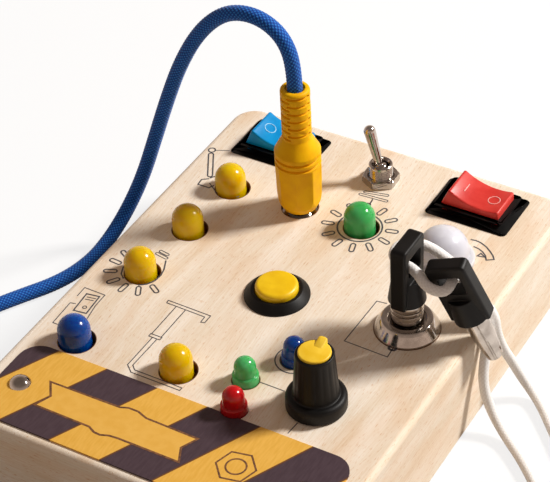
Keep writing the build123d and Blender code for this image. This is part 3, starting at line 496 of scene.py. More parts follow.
leadCord = {
    "name": "braided_lead", "size": 1.85, "carriers": 12, "around": 96, "step": 0.22, "relief": 0.12,
    "finish": "blue_braid",
    "route": [
        (-0.01185, 0.0321, 0.0590), (-0.01185, 0.0321, 0.0659), (-0.0140, 0.0320, 0.0724),
        (-0.0186, 0.0320, 0.0759), (-0.0244, 0.0320, 0.0766), (-0.0304, 0.0320, 0.0743),
        (-0.0368, 0.0320, 0.0676), (-0.0426, 0.0320, 0.0573), (-0.0473, 0.0320, 0.0456),
        (-0.0518, 0.0318, 0.0328), (-0.0560, 0.0308, 0.0200), (-0.0599, 0.0280, 0.0098),
        (-0.0624, 0.0220, 0.0032), (-0.0629, 0.0135, 0.0019), (-0.0654, 0.0040, 0.0019),
        (-0.0713, -0.0052, 0.0019), (-0.0762, -0.0135, 0.0019), (-0.0776, -0.0225, 0.0019),
        (-0.0745, -0.0315, 0.0021), (-0.0675, -0.0380, 0.0040), (-0.0585, -0.0404, 0.0072),
        (-0.0500, -0.0400, 0.0090), (-0.0395, -0.0400, 0.0090)],
}
keyCord = {
    "name": "key_cord_braid", "size": 1.2, "carriers": 8, "around": 64, "step": 0.22, "relief": 0.07,
    "finish": "white_braid",
    "route": [
        (0.0756, -0.0176, 0.0032), (0.0726, -0.0120, 0.0015), (0.0675, -0.0052, 0.0012),
        (0.0606, 0.0016, 0.0013), (0.0542, 0.0066, 0.0015), (0.0498, 0.0086, 0.0054),
        (0.0475, 0.0088, 0.0118), (0.0467, 0.0108, 0.0175), (0.0465, 0.0134, 0.0236),
        (0.0454, 0.0134, 0.0276), (0.0424, 0.0128, 0.0310), (0.0408, 0.0124, 0.0350),
        (0.0404, 0.0122, 0.0390), (0.0406, 0.0108, 0.0426), (0.0412, 0.0060, 0.0433),
        (0.0416, 0.0012, 0.0428), (0.0374, 0.0006, 0.0432), (0.0328, 0.0047, 0.0434),
        (0.0279, 0.0054, 0.0434), (0.0260, 0.0070, 0.0434), (0.0257, 0.0104, 0.0434),
        (0.0282, 0.0127, 0.0436), (0.0320, 0.0138, 0.0426), (0.0356, 0.0144, 0.0402),
        (0.0392, 0.0150, 0.0374), (0.0414, 0.0156, 0.0340), (0.0436, 0.0160, 0.0302),
        (0.0465, 0.0162, 0.0266), (0.0469, 0.0164, 0.0220), (0.0478, 0.0178, 0.0166),
        (0.0494, 0.0202, 0.0108), (0.0514, 0.0218, 0.0052), (0.0542, 0.0218, 0.0018),
        (0.0580, 0.0186, 0.0013), (0.0630, 0.0130, 0.0012), (0.0690, 0.0065, 0.0012),
        (0.0744, -0.0015, 0.0013), (0.0774, -0.0105, 0.0018), (0.0770, -0.0176, 0.0034)],
}


def splineLine(points, step):
    # even points along the route's smooth spline, in mm
    data = bpy.data.curves.new("route", "CURVE")
    data.dimensions = "3D"
    data.resolution_u = 24
    spline = data.splines.new("NURBS")
    spline.points.add(len(points) - 1)
    for point, at in zip(spline.points, points):
        point.co = (*at, 1.0)
    spline.order_u = 3
    spline.use_endpoint_u = True
    holder = bpy.data.objects.new("route", data)
    dense = [v.co / mm for v in bpy.data.meshes.new_from_object(holder).vertices]
    bpy.data.objects.remove(holder)
    marks = [0.0]
    for a, b in zip(dense, dense[1:]):
        marks.append(marks[-1] + (b - a).length)
    count = int(marks[-1] / step)
    line, segment = [], 0
    for i in range(count + 1):
        goal = marks[-1] * i / count
        while segment < len(dense) - 2 and marks[segment + 1] < goal:
            segment += 1
        share = (goal - marks[segment]) / (marks[segment + 1] - marks[segment])
        line.append(dense[segment].lerp(dense[segment + 1], share))
    return line, marks[-1]


def braidedTube(line, length, cord):
    # yarns run both ways round at 45 degrees and rise where they cross over
    size, count, around = cord["size"], cord["carriers"], cord["around"]
    side = Vector((0, 0, 1)).cross(line[1] - line[0]).normalized()
    if side.length < 0.5:
        side = Vector((1, 0, 0))
    loops, weave = [], []
    for i, at in enumerate(line):
        ahead = (line[min(i + 1, len(line) - 1)] - line[max(i - 1, 0)]).normalized()
        side = (side - ahead * side.dot(ahead)).normalized()
        other = ahead.cross(side)
        run = length * i / (len(line) - 1) / size
        loop = []
        for s in range(around):
            angle = 2 * math.pi * s / around
            height = math.cos(count * (angle + run) / 2) * math.cos(count * (angle - run) / 2)
            share = abs(height) ** 0.7
            radius = size - cord["relief"] * (1 - share)
            loop.append(at + (side * math.cos(angle) + other * math.sin(angle)) * radius)
            weave.append(share)
        loops.append(loop)
    return loops, weave


def braidedPiece(name, shape, weave, finish, body, node):
    piece = meshPiece(name, shape, finish, body, (node,), crease=180)
    data = piece.data.attributes.new("weave", "FLOAT", "POINT")
    data.data.foreach_set("value", weave[:len(piece.data.vertices)])
    return piece


def addCord(cord, node, body=None):
    line, length = splineLine(cord["route"], cord["step"])
    loops, weave = braidedTube(line, length, cord)
    shape = joinLoops(loops, caps=(True, True))
    piece = braidedPiece(cord["name"], shape, weave, cord["finish"], body, node)
    return piece, [p * mm for p in line], length * mm


lead, leadLine, leadLength = addCord(leadCord, "lead")
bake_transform(lead)
loop, loopLine, loopLength = addCord(keyCord, "key_cord")
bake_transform(loop)
print("cords laid:", round(leadLength / mm), round(loopLength / mm), "mm")

# The knot that joins the cord's two ends, and its cut tails
knot = {"turns": 2.3, "wrap": 1.85, "tail": 8.0, "spread": 1.7, "tailAngle": 14}


def tiedKnot(tie):
    low, high = (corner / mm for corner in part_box("cord_knot"))
    midX, midZ = (low.x + high.x) / 2, (low.z + high.z) / 2
    length = high.y - low.y - tie["tail"]
    cord = dict(keyCord, step=0.2)
    inside = length - 2 * cord["size"]
    parts, weave = [], []
    coil = [Vector((midX + tie["wrap"] * math.cos(a), high.y - cord["size"] - inside * a
                    / (2 * math.pi * tie["turns"]), midZ + tie["wrap"] * math.sin(a))) * mm
            for a in (2 * math.pi * tie["turns"] * s / 40 for s in range(41))]
    tails = []
    for side in (-1, 1):
        lean = math.radians(side * tie["tailAngle"])
        start = Vector((midX + side * tie["spread"] * 0.5, high.y - length / 2, midZ / 2 + 0.4))
        end = start + Vector((math.sin(lean), -math.cos(lean), 0)) * (tie["tail"] + length / 2 - 0.4)
        end.z = cord["size"] + 0.1
        tails.append([start * mm, start.lerp(end, 0.35) * mm, start.lerp(end, 0.7) * mm, end * mm])
    for points in [coil] + tails:
        line, run = splineLine(points, cord["step"])
        loops, shares = braidedTube(line, run, cord)
        parts.append(joinLoops(loops, caps=(True, True)))
        weave += shares
    return braidedPiece("tied_knot", merged(*parts), weave, "white_braid", "root", "cord_knot")


tied = tiedKnot(knot)


# Lamps: cast lenses with a domed end, in burnt holes

bigLamp = {"radius": 3.75, "rise": 6.8, "rim": 4.9, "rimLow": -5.5, "rimHigh": -4.0, "hole": 4.3,
           "holeShift": 0.45}
smallLamp = {"radius": 2.45, "rise": 6.4, "band": 2.95, "bandRise": 2.0, "rim": 3.6,
             "rimLow": -5.0, "rimHigh": -4.0}
domeLamp = {"radius": 6.1, "rise": 8.5, "flange": 7.4, "flangeRise": 1.2, "neck": 5.0,
            "hollow": 4.0, "hollowRise": 4.0, "depth": -5.5}


bigLampNodes = ("yellow_lamp_1", "yellow_lamp_2", "yellow_lamp_3", "yellow_lamp_4", "blue_lamp",
                "green_lamp")


def addLamps():
    r, rise = bigLamp["radius"], bigLamp["rise"]
    rim, low, high = bigLamp["rim"], bigLamp["rimLow"], bigLamp["rimHigh"]
    for node in bigLampNodes:
        lens = spun([(0, low), (rim, low, 0.2), (rim, high, 0.2), (r, high), (r, rise, r * 0.999),
                     (0, rise)], 64)
        colour = node.split("_")[0]
        meshPiece(node + "_lens", lens, colour + "_lens", "root", (node,), at=onTop(node))
    r, rise, band = smallLamp["radius"], smallLamp["rise"], smallLamp["band"]
    for node in ("small_green_lamp", "small_red_lamp", "small_blue_lamp"):
        lens = spun([(0, smallLamp["rimLow"]), (smallLamp["rim"], smallLamp["rimLow"], 0.15),
                     (smallLamp["rim"], smallLamp["rimHigh"], 0.15), (band, smallLamp["rimHigh"]),
                     (band, smallLamp["bandRise"], 0.35), (r, smallLamp["bandRise"] + 0.15, 0.12),
                     (r, rise, r * 0.999), (0, rise)], 56)
        colour = node.split("_")[1]
        meshPiece(node + "_lens", lens, colour + "_lens", "root", (node,), at=onTop(node))
    d = domeLamp
    lens = spun([(0, d["hollowRise"]), (d["hollow"], d["hollowRise"], 1.0), (d["hollow"], d["depth"]),
                 (d["neck"], d["depth"]), (d["neck"], 0), (d["flange"], 0),
                 (d["flange"], d["flangeRise"], 0.45),
                 (d["radius"], d["flangeRise"], 0.25), (d["radius"], d["rise"], d["radius"] * 0.998),
                 (0, d["rise"])], 80)
    meshPiece("dome_shell", lens, "white_lens", "root", ("dome_lens",), at=onTop("dome_lens"))


addLamps()
print("lamps made")


# Rocker switches: a moulded frame, a rocker that is dished between its two raised ends

rockerSwitch = {"bezel": (21.0, 15.0, 1.2), "rise": 2.0, "slope": 1.5, "body": (18.6, 12.6, 0.5),
                "depth": -13.5, "cavity": (17.0, 10.2, 0.4), "floor": -4.4, "half": 6.5, "edge": 5.1,
                "valley": 3.6, "nose": 7.7, "bottomHalf": 6.2, "bottom": -3.0, "width": 9.2,
                "tilt": 10.5, "pivotRise": 0.2, "soft": 0.45, "ring": (1.3, 1.52), "bar": (0.24, 3.0),
                "markRise": 0.08, "markAt": 3.6, "dishStep": 0.088}


def switchFrame(colour, s):
    def level(size, shrink, z):
        width, length, radius = size
        return [(x, y, z) for x, y in roundedRect(width - shrink, length - shrink, radius)]

    bezel, cavity, rise, slope = s["bezel"], s["cavity"], s["rise"], 2 * s["slope"]
    loops = [level(s["body"], 0, s["depth"]), level(s["body"], 0, 0), level(bezel, 0.15, 0),
             level(bezel, 0, 0.12), level(bezel, 0.1, 0.22), level(bezel, slope - 0.12, rise - 0.06),
             level(bezel, slope + 0.05, rise), level(cavity, -0.3, rise), level(cavity, 0, rise - 0.2),
             level(cavity, 0, s["floor"])]
    housing = f"{colour}_switch_housing"
    meshPiece(f"{colour}_switch_frame", joinLoops(loops, caps=(True, True)), "black_plastic", "root",
              (housing,), crease=50, at=onTop(housing))
    return onTop(housing)


def dishedRocker(colour, s, at, signKinds):
    bend = (s["half"] ** 2 + (s["edge"] - s["valley"]) ** 2) / (2 * (s["edge"] - s["valley"]))

    def dish(x):
        return s["valley"] + bend - math.sqrt(bend ** 2 - x ** 2)

    across = [(x, dish(x)) for x in (i * s["half"] * s["dishStep"] for i in range(10, -11, -1))]
    outline = roundedLine(
        [(-s["bottomHalf"], s["bottom"], 0.6), (s["bottomHalf"], s["bottom"], 0.6),
         (s["nose"], 0, 1.2), (s["half"], s["edge"], 0.5)] + across
        + [(-s["half"], s["edge"], 0.5), (-s["nose"], 0, 1.2)], True)
    body = slab([tuple(p) for p in outline], -s["width"] / 2, s["width"] / 2, s["soft"], s["soft"])
    standing = Matrix.Rotation(math.radians(90), 4, "X")
    tilted = at @ Matrix.Translation((0, 0, s["pivotRise"])) @ Matrix.Rotation(
        math.radians(s["tilt"]), 4, "Y")
    rocker = f"{colour}_rocker"
    meshPiece(rocker + "_cap", body, f"{colour}_plastic", rocker, (rocker,), crease=42,
              at=tilted @ standing)
    signs = []
    for kind, x in zip(signKinds, (-s["markAt"], s["markAt"])):
        lean = Matrix.Rotation(-math.asin(x / bend), 4, "Y")
        spot = tilted @ Matrix.Translation((x, 0, dish(x) + 0.02)) @ lean
        if kind == "ring":
            inner, outer = s["ring"]
            sign = spun([(inner, 0), (outer, 0), (outer, s["markRise"]), (inner, s["markRise"])], 48,
                        closed=True)
        else:
            sign = slab(roundedRect(*s["bar"], 0.1), 0, s["markRise"], 0.03)
        signs.append((placed(sign[0], spot), sign[1]))
    # the raised marks get a paler tint: a painted highlight
    meshPiece(rocker + "_marks", merged(*signs), markHighlight[colour], rocker)


for colour, signKinds in (("blue", ("ring", "bar")), ("red", ("bar", "ring"))):
    dishedRocker(colour, rockerSwitch, switchFrame(colour, rockerSwitch), signKinds)
print("rocker switches made")


# Toggle switch: threaded bushing, hex nut and a tapered bat lever, all chrome plated

toggle = {"flats": 8.0, "nutRise": 2.0, "nutTurn": 32, "bushing": 2.95, "rise": 5.2, "bore": 1.95,
          "floor": -1.5, "thread": 0.5, "threadDepth": 0.14, "pivot": 3.0, "base": 1.0, "tip": 1.45,
          "reach": 11.1, "lean": -15, "ball": 1.9, "tail": 0.8, "tailReach": -3.0, "low": -4.0,
          "threadLow": 0.6}


def hexNut(flats, bore, low, high, turn, chamfer=0.45):
    def corner(angle, across, up):
        if across <= bore + 0.5:
            return across
        off = (angle - math.radians(turn)) % (math.pi / 3) - math.pi / 6
        return min(across, flats / 2 / math.cos(off))

    reach = flats / 2 / math.cos(math.pi / 6)
    points = [(bore, low), (reach - 0.25, low), (reach + 0.05, low + 0.15)]
    points += [(reach + 0.05, high - chamfer), (reach * 0.96, high - 0.2), (reach * 0.885, high - 0.03),
               (reach * 0.86, high), (bore + 0.45, high), (bore, high - 0.3)]
    return spun(points, 144, corner, closed=True)


def addToggle(t):
    at = onTop("toggle_bushing")
    nut = hexNut(t["flats"], t["bushing"] + 0.05, 0, t["nutRise"], t["nutTurn"])
    meshPiece("toggle_hex_nut", nut, "chrome", "root", ("toggle_nut",), crease=30, at=at)
    outside = [(t["bushing"], t["low"]), (t["bushing"], t["threadLow"])]
    turns = int((t["rise"] - 1.0) / t["thread"])
    for i in range(turns):
        z = t["threadLow"] + i * t["thread"]
        outside += [(t["bushing"] - t["threadDepth"], z + t["thread"] * 0.45),
                    (t["bushing"], z + t["thread"] * 0.9), (t["bushing"], z + t["thread"])]
    outside += [(t["bushing"] - 0.1, t["rise"] - 0.15), (t["bushing"] - 0.3, t["rise"])]
    inside = [(t["bore"] + 0.35, t["rise"]), (t["bore"], t["rise"] - 0.5), (t["bore"], t["floor"]),
              (0, t["floor"])]
    sleeve = spun([(0, t["low"])] + outside + inside, 72)
    meshPiece("toggle_sleeve", sleeve, "chrome", "root", ("toggle_bushing",), crease=25, at=at)
    pivot = at @ Matrix.Translation((0, 0, t["pivot"])) @ Matrix.Rotation(
        math.radians(t["lean"]), 4, "Y")
    lever = spun([(0, t["tailReach"]), (t["tail"], t["tailReach"], 0.2), (t["tail"], -t["ball"] * 0.9),
                  (t["ball"], -t["ball"] * 0.75, 0.9), (t["ball"], t["ball"] * 0.75, 0.9),
                  (t["base"], t["ball"], 0.5), (t["tip"], t["reach"], 0.4),
                  (t["tip"], t["reach"] + t["tip"], t["tip"] * 0.98), (0, t["reach"] + t["tip"])], 56)
    meshPiece("toggle_bat", lever, "chrome", "toggle_lever", ("toggle_lever",), at=pivot)


addToggle(toggle)


# Push button: a low cone of black ABS with a sprung yellow cap

button = {"bezel": 7.6, "bezelTop": 5.8, "rise": 2.0, "bore": 5.05, "seat": -8.0, "barrel": 6.0,
          "low": -13.0, "foot": 5.2, "footLow": -16.6, "cap": 4.95, "capRise": 3.6, "skirt": -3.0,
          "stem": 2.0, "stemLow": -11.4, "travel": 1.2}


def addButton(b):
    at = onTop("button_housing")
    shell = spun([(b["stem"] + 0.1, b["footLow"]), (b["foot"], b["footLow"], 0.3),
                  (b["foot"], b["low"]), (b["barrel"], b["low"], 0.3), (b["barrel"], 0),
                  (b["bezel"], 0), (b["bezel"], 0.35, 0.2), (b["bezelTop"] + 0.15, b["rise"], 0.5),
                  (b["bore"] + 0.05, b["rise"], 0.2), (b["bore"], b["seat"]),
                  (b["stem"] + 0.1, b["seat"])], 96, closed=True)
    meshPiece("button_shell", shell, "black_plastic", "root", ("button_housing",), at=at)
    cap = spun([(0, b["stemLow"]), (b["stem"], b["stemLow"], 0.2), (b["stem"], b["skirt"]),
                (b["cap"], b["skirt"], 0.3), (b["cap"], b["capRise"] - 0.12, 0.9),
                (b["cap"] * 0.55, b["capRise"] - 0.03, 6.0), (0, b["capRise"])], 96)
    meshPiece("button_yellow_cap", cap, "yellow_plastic", "button", ("button_cap",), at=at)


addButton(button)


# The return spring, remeshed and smoothed, on a mesh of its own

def squeezedSpring():
    coil = softened("button_return_coil", "button_spring", *skins["spring"], "root")
    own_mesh(coil)


squeezedSpring()


# Key switch: chromed cone, a ring groove, and the turning barrel with two lines round it

lock = {"bezel": 7.4, "bezelTop": 5.75, "rise": 3.2, "body": 6.0, "low": -15.0, "floor": -11.0,
        "bore": 3.8, "recess": 0.6, "recessLow": 1.7, "barrel": 3.7, "barrelRise": 8.6,
        "barrelLow": -10.8, "keyhole": 2.75, "holeLow": -3.0, "lines": (5.6, 6.7), "lineDepth": 0.35}


def addLock(k):
    shell = spun([(0, k["low"]), (k["body"], k["low"], 0.3), (k["body"], 0), (k["bezel"], 0),
                  (k["bezel"], 0.5, 0.35), (k["bezelTop"] + 0.5, k["rise"] - 0.7, 0.6),
                  (k["bezelTop"], k["rise"], 0.35), (k["bore"] + k["recess"], k["rise"], 0.15),
                  (k["bore"] + k["recess"], k["recessLow"]), (k["bore"], k["recessLow"]),
                  (k["bore"], k["floor"]), (0, k["floor"])], 112)
    meshPiece("lock_chrome_cone", shell, "chrome", "root", ("lock_housing",),
              at=onTop("lock_housing"))
    side = [(k["bore"] - 0.02, k["barrelLow"], 0.2), (k["bore"] - 0.02, k["recessLow"]),
            (k["barrel"], k["recessLow"] + 0.05)]
    for z in k["lines"]:
        side += [(k["barrel"], z, 0.06), (k["barrel"] - k["lineDepth"], z + 0.12),
                 (k["barrel"] - k["lineDepth"], z + 0.3), (k["barrel"], z + 0.42, 0.06)]
    barrel = spun([(0, k["barrelLow"])] + side + [(k["barrel"], k["barrelRise"], 0.45),
                  (k["keyhole"], k["barrelRise"], 0.1), (k["keyhole"], k["holeLow"]),
                  (0, k["holeLow"])], 96)
    meshPiece("lock_turning_barrel", barrel, "chrome", "key", ("lock_barrel",), crease=30,
              at=onTop("lock_barrel"))


addLock(lock)
for keyNode, keyBody in (("lock_key_bow", "key"), ("spare_key_bow", "root")):
    softened(keyNode.replace("bow", "grip"), keyNode, *skins["key"], keyBody)
print("toggle, button, lock and keys made")


# Dimmer knob: fluted black cone over a wide skirt, with a yellow cap and its pointer nub

knob = {"skirt": 6.7, "skirtRise": 3.6, "foot": 5.0, "crown": 4.25, "height": 14.9, "hollow": 5.95,
        "hollowRise": 2.7, "shaft": 3.0, "bottom": 0.3, "cap": 3.6, "seat": 0.6, "capRise": 0.5,
        "nubWidth": 2.2, "nubStart": 0.8, "nubRise": 0.8, "nubSlope": 0.32, "flutes": 18,
        "fluteDepth": 0.07}


def addKnob(k):
    at = onTop("knob_body", k["bottom"])

    def fluted(angle, across, up):
        if up <= k["skirtRise"] + 0.4 or up >= k["height"] - 0.5 or across < k["crown"] - 0.3:
            return across
        fade = min(1, (up - k["skirtRise"] - 0.4) / 0.8, (k["height"] - 0.5 - up) / 0.6)
        return across - k["fluteDepth"] * fade * (0.5 + 0.5 * math.cos(k["flutes"] * angle)) ** 2

    side = [(k["foot"] + (k["crown"] - k["foot"]) * s / 12,
             k["skirtRise"] + 0.5 + (k["height"] - k["skirtRise"] - 1.0) * s / 12) for s in range(13)]
    body = spun([(k["shaft"], k["hollowRise"]), (k["hollow"], k["hollowRise"], 0.2), (k["hollow"], 0),
                 (k["skirt"], 0, 0.25), (k["skirt"], k["skirtRise"], 1.15),
                 (k["foot"] + 0.05, k["skirtRise"], 0.4)] + side
                + [(k["crown"], k["height"], 0.3), (k["cap"], k["height"]),
                   (k["cap"], k["height"] - k["seat"]), (k["shaft"], k["height"] - k["seat"]),
                   (k["shaft"], k["hollowRise"])], 216, fluted)
    meshPiece("knob_fluted_body", body, "black_plastic", "knob", ("knob_body",), at=at)
    top, seat = k["height"] + k["capRise"], k["height"] - k["seat"]
    cap = spun([(0, seat), (k["cap"], seat), (k["cap"], top, 0.35), (0, top + 0.04)], 72)
    nub = slab([tuple(p) for p in roundedLine(
        [(-k["nubWidth"] / 2, k["nubStart"], 0.5), (k["nubWidth"] / 2, k["nubStart"], 0.5),
         (k["nubWidth"] / 2, k["crown"], 0.8), (-k["nubWidth"] / 2, k["crown"], 0.8)], True)],
        k["height"] + 0.02, top + k["nubRise"], 0.45)
    verts, faces = merged(cap, nub)
    # the nub's top slopes up from the middle of the cap to its edge
    verts = [(x, y, z - max(0, (k["crown"] - 0.6 - y)) * k["nubSlope"] if z > top + 0.1 else z)
             for x, y, z in verts]
    meshPiece("knob_yellow_cap", (verts, faces), "yellow_rubber", "knob", ("knob_cap",), at=at)


addKnob(knob)

# Plug: soft amber moulding, and the lead's rubber grommet

softened("plug_moulding", "plug_body", *skins["plug"], "plug", amberVinyl)
grommet = {"flange": 4.4, "neck": 3.15, "inner": 3.9, "innerThickness": 1.2,
           "hole": 1.9, "wall": 4.5}


def addGrommet(g):
    low, high = (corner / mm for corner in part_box("lead_grommet"))
    outer = high.x - g["innerThickness"] - g["wall"] - low.x
    ring = spun([(g["hole"], outer + g["wall"] + g["innerThickness"]), (g["hole"], 0, 0.35),
                 (g["flange"] - 0.6, 0, 0.5), (g["flange"], outer * 0.5, 0.5), (g["flange"], outer),
                 (g["neck"], outer), (g["neck"], outer + g["wall"]), (g["inner"], outer + g["wall"]),
                 (g["inner"], outer + g["wall"] + g["innerThickness"], 0.3)], 64, closed=True)
    at = Matrix.Translation((low.x, (low.y + high.y) / 2, (low.z + high.z) / 2)) @ Matrix.Rotation(
        math.radians(90), 4, "Y")
    meshPiece("grommet_ring", ring, "black_rubber", "root", ("lead_grommet",), at=at)


addGrommet(grommet)
print("knob, plug and grommet made")


# Printed lines on the wood and the plate, in mm from the middle of the board

ink = {"line": 0.24, "bold": 0.36, "lift": 0.03}
greenRays = {"at": "green_lamp", "ring": 5.3, "ringLine": 0.42, "inner": 6.2, "outer": 9.2,
             "width": 1.15, "count": 12}
bulbRays = {"centres": [(-39.6, -1.7), (-40.2, -4.9), (-39.4, -8.3), (-36.9, -10.9), (-33.5, -11.9),
                        (-29.8, -11.3), (-26.9, -9.0)], "from": (-32.9, -5.4), "length": 3.1,
            "width": 1.1}
blueRings = {"radii": (4.35, 3.25), "lines": (0.3, 0.25)}
burntHoles = {node: bigLamp["hole"] for node in bigLampNodes}
burntHoles.update(small_green_lamp=3.1, small_blue_lamp=3.1, lock_housing=7.45, socket_sleeve=4.45)
burntWidth = (0.12, -0.03, -0.05, -0.05)
burntDepth = (0.01, 0.01, 0.3, 3.5)


def ribbon(points, width, z, closed=False):
    count = len(points)
    flat = [Vector(p) for p in points]
    runs = [(flat[(i + 1) % count] - flat[i]).normalized() for i in range(count)]
    sides = []
    for i in range(count):
        # an open line has one run at each end
        before = runs[i - 1] if closed or i else runs[0]
        after = runs[i] if closed or i < count - 1 else before
        normals = [Vector((-run.y, run.x)) for run in (before, after)]
        mitre = (normals[0] + normals[1]).normalized()
        sides.append(mitre * (width / 2 / max(0.4, mitre.dot(normals[0]))))
    left = [(*(p + s), z) for p, s in zip(flat, sides)]
    right = [(*(p - s), z) for p, s in zip(flat, sides)]
    faces = [[i, (i + 1) % count, count + (i + 1) % count, count + i]
             for i in range(count if closed else count - 1)]
    return left + right, faces


def capsule(centre, direction, length, width):
    along = Vector(direction).normalized()
    across = Vector((-along.y, along.x))
    reach, half = (length - width) / 2, width / 2
    line = []
    for side, sign in ((1, 1), (-1, -1)):
        for s in range(9):
            a = -math.pi / 2 + math.pi * s / 8
            line.append(Vector(centre) + along * (side * (reach + half * math.cos(a)))
                        + across * (sign * half * math.sin(a)))
    return line


def circle(centre, radius, count=48):
    return [(centre[0] + radius * math.cos(2 * math.pi * s / count),
             centre[1] + radius * math.sin(2 * math.pi * s / count)) for s in range(count)]


def addPrint():
    z = topZ / mm + ink["lift"]
    thin, bold = ink["line"], ink["bold"]
    lines = []

    def draw(points, width=thin, closed=False):
        lines.append(ribbon(points, width, z, closed))

    rays = greenRays
    at = (middleOf(rays["at"]) / mm).xy
    draw(circle(at, rays["ring"]), rays["ringLine"], True)
    for s in range(rays["count"]):
        angle = 2 * math.pi * (s + 0.5) / rays["count"]
        outward = Vector((math.cos(angle), math.sin(angle)))
        middle = at + outward * (rays["inner"] + rays["outer"]) / 2
        draw(capsule(middle, outward, rays["outer"] - rays["inner"], rays["width"]), bold, True)
    # screw cap of a bulb above the green lamp
    for low, high in (((-1.3, 42.9), (5.4, 43.3)), ((-0.7, 44.2), (4.6, 45.3))):
        run = Vector(high) - Vector(low)
        draw(capsule((Vector(low) + Vector(high)) / 2, run, run.length + 0.8, 0.75), thin, True)
    draw([(2.2, 42.5), (2.6, 39.2)], bold)
    # swinging arm beside the first lamp
    draw(circle((-42.4, 41.9), 0.85, 24), bold, True)
    draw([(-41.6, 42.2), (-38.4, 43.7)])
    draw(capsule((-39.6, 36.6), (4.8, -8.4), 9.6, 1.2), bold, True)
    draw([(-37.0, 31.7), (-38.5, 30.6), (-38.3, 28.6), (-35.2, 28.6), (-34.6, 30.0)], bold)
    draw([(-37.0, 32.0), (-35.9, 33.6)], bold)
    draw([(-36.0, 30.2), (-32.4, 27.7), (-27.0, 28.7), (-27.3, 30.2)])
    # bulb round the third lamp
    for centre in bulbRays["centres"]:
        outward = Vector(centre) - Vector(bulbRays["from"])
        draw(capsule(centre, outward, bulbRays["length"], bulbRays["width"]), bold, True)
    draw([(-30.9, -9.6), (-29.3, -8.4), (-28.3, -6.4), (-28.1, -4.4), (-28.6, -2.2), (-29.9, 0.7)],
         bold)
    draw([(-35.2, -9.2), (-36.6, -8.0), (-37.5, -5.8), (-37.2, -3.2), (-35.8, -0.8), (-33.4, 1.3)],
         bold)
    for rise in (0.0, 1.1):
        draw(capsule((-31.7, 1.7 + rise), (2.4, -0.4), 3.6 - rise * 0.7, 0.75), thin, True)
    # breaker box in front of it
    draw([(-39.8, -17.5), (-36.6, -17.0), (-36.1, -23.2), (-39.3, -23.6)], bold, True)
    draw([(-39.2, -18.4), (-36.9, -18.0)])
    draw([(-39.1, -19.2), (-37.0, -18.8)])
    draw(circle((-37.6, -21.6), 0.45, 16), thin, True)
    draw([(-41.3, -19.2), (-41.4, -15.9), (-35.8, -16.0), (-35.7, -20.1), (-34.9, -24.7)])
    draw([(-40.1, -21.5), (-41.4, -21.8), (-41.1, -29.2), (-39.2, -29.2)])
    # work lamp on a stand
    draw([(-21.9, -10.9), (-21.8, -11.8), (-11.6, -12.0), (-11.5, -13.9), (-10.6, -13.7),
          (-10.6, -11.1)], thin, True)
    draw([(-19.2, -11.9), (-19.2, -22.2)])
    draw([(-16.7, -11.9), (-16.7, -22.2)])
    draw([(-19.4, -22.2), (-16.5, -22.2), (-16.5, -23.1), (-19.4, -23.1)], thin, True)
    draw([(-18.4, -23.2), (-18.5, -33.1), (-16.5, -34.8), (-4.0, -34.8), (-4.0, -33.9), (-16.2, -33.8),
          (-17.4, -32.7), (-17.2, -23.2)])
    # wires to the key switch, the knob and the small lamps
    draw([(22.6, 10.6), (20.2, 10.3), (20.0, -4.7), (30.8, -5.0), (30.6, -1.8)])
    lines.append(ribbon(capsule((30.5, -2.0), (1, 0.1), 1.6, 1.2), 0.6, z, True))
    draw([(10.1, -24.6), (16.2, -24.6)])
    draw([(23.4, -31.7), (23.1, -35.4)])
    draw([(29.5, 39.4), (30.8, 39.6), (32.1, 39.4), (33.9, 38.6), (35.5, 37.4), (36.6, 36.4),
          (37.4, 35.3), (35.9, 34.3), (35.0, 35.7), (33.9, 36.6), (32.6, 37.2), (31.2, 37.4)], bold)
    draw([(33.4, 34.7), (33.8, 35.9), (35.2, 35.1)], bold, True)
    meshPiece("printed_lines", merged(*lines), printInk, "root")

    # burnt edges of the drilled holes, and the rings round the small blue lamp
    burnt = []
    for node, radius in burntHoles.items():
        centre = (middleOf(node) / mm).xy
        if node in bigLampNodes:
            centre.x += bigLamp["holeShift"]
        loops = [[(x, y, z - deep) for x, y in circle(centre, radius + wide, 64)]
                 for wide, deep in zip(burntWidth, burntDepth)]
        burnt.append(joinLoops(loops))
    meshPiece("scorched_hole_edges", merged(*burnt), scorchedWood, "root")
    at = (middleOf("small_blue_lamp") / mm).xy
    rings = [ribbon(circle(at, radius), line, level, True)
             for radius, line, level in zip(blueRings["radii"], blueRings["lines"], (z, z + 0.01))]
    meshPiece("small_lamp_ring", merged(*rings), printInk, "root")


addPrint()

# Blank nameplate ribbon and a hex nut outline, scorched into the striped plate
plaque = {"outline": [(-30.2, -45.7), (-16.8, -45.5), (-12.4, -45.4), (-10.6, -44.7), (-8.2, -44.7),
                      (-5.6, -45.6), (7.4, -45.8), (5.6, -49.6), (7.4, -53.4), (-7.6, -53.4),
                      (-9.8, -53.6), (-11.6, -54.3), (-13.2, -54.2), (-15.0, -53.3), (-29.2, -53.2),
                      (-27.6, -49.4)], "line": 0.5, "nutAt": (18.6, -49.0), "nut": 4.4,
          "nutLine": 0.4, "nutTurn": 12}


def addPlateMarks(p):
    z = plateZ / mm + ink["lift"]
    outline = p["outline"]
    middle = (sum(x for x, y in outline) / len(outline), sum(y for x, y in outline) / len(outline))
    verts = [(*middle, z - 0.01)] + [(x, y, z - 0.01) for x, y in outline]
    faces = [[0, i + 1, (i + 1) % len(outline) + 1] for i in range(len(outline))]
    meshPiece("blank_nameplate", (verts, faces), amberInk, "root")
    (midX, midY), size, line = p["nutAt"], p["nut"], p["nutLine"]
    turns = [math.radians(60 * s + p["nutTurn"]) for s in range(6)]
    nut = [(midX + size * math.cos(turn), midY + size * math.sin(turn)) for turn in turns]
    marks = merged(ribbon(outline, p["line"], z, True), ribbon(nut, line, z, True),
                   ribbon(circle(p["nutAt"], size * 0.5), line, z, True))
    meshPiece("plate_outlines", marks, scorchedWood, "root")


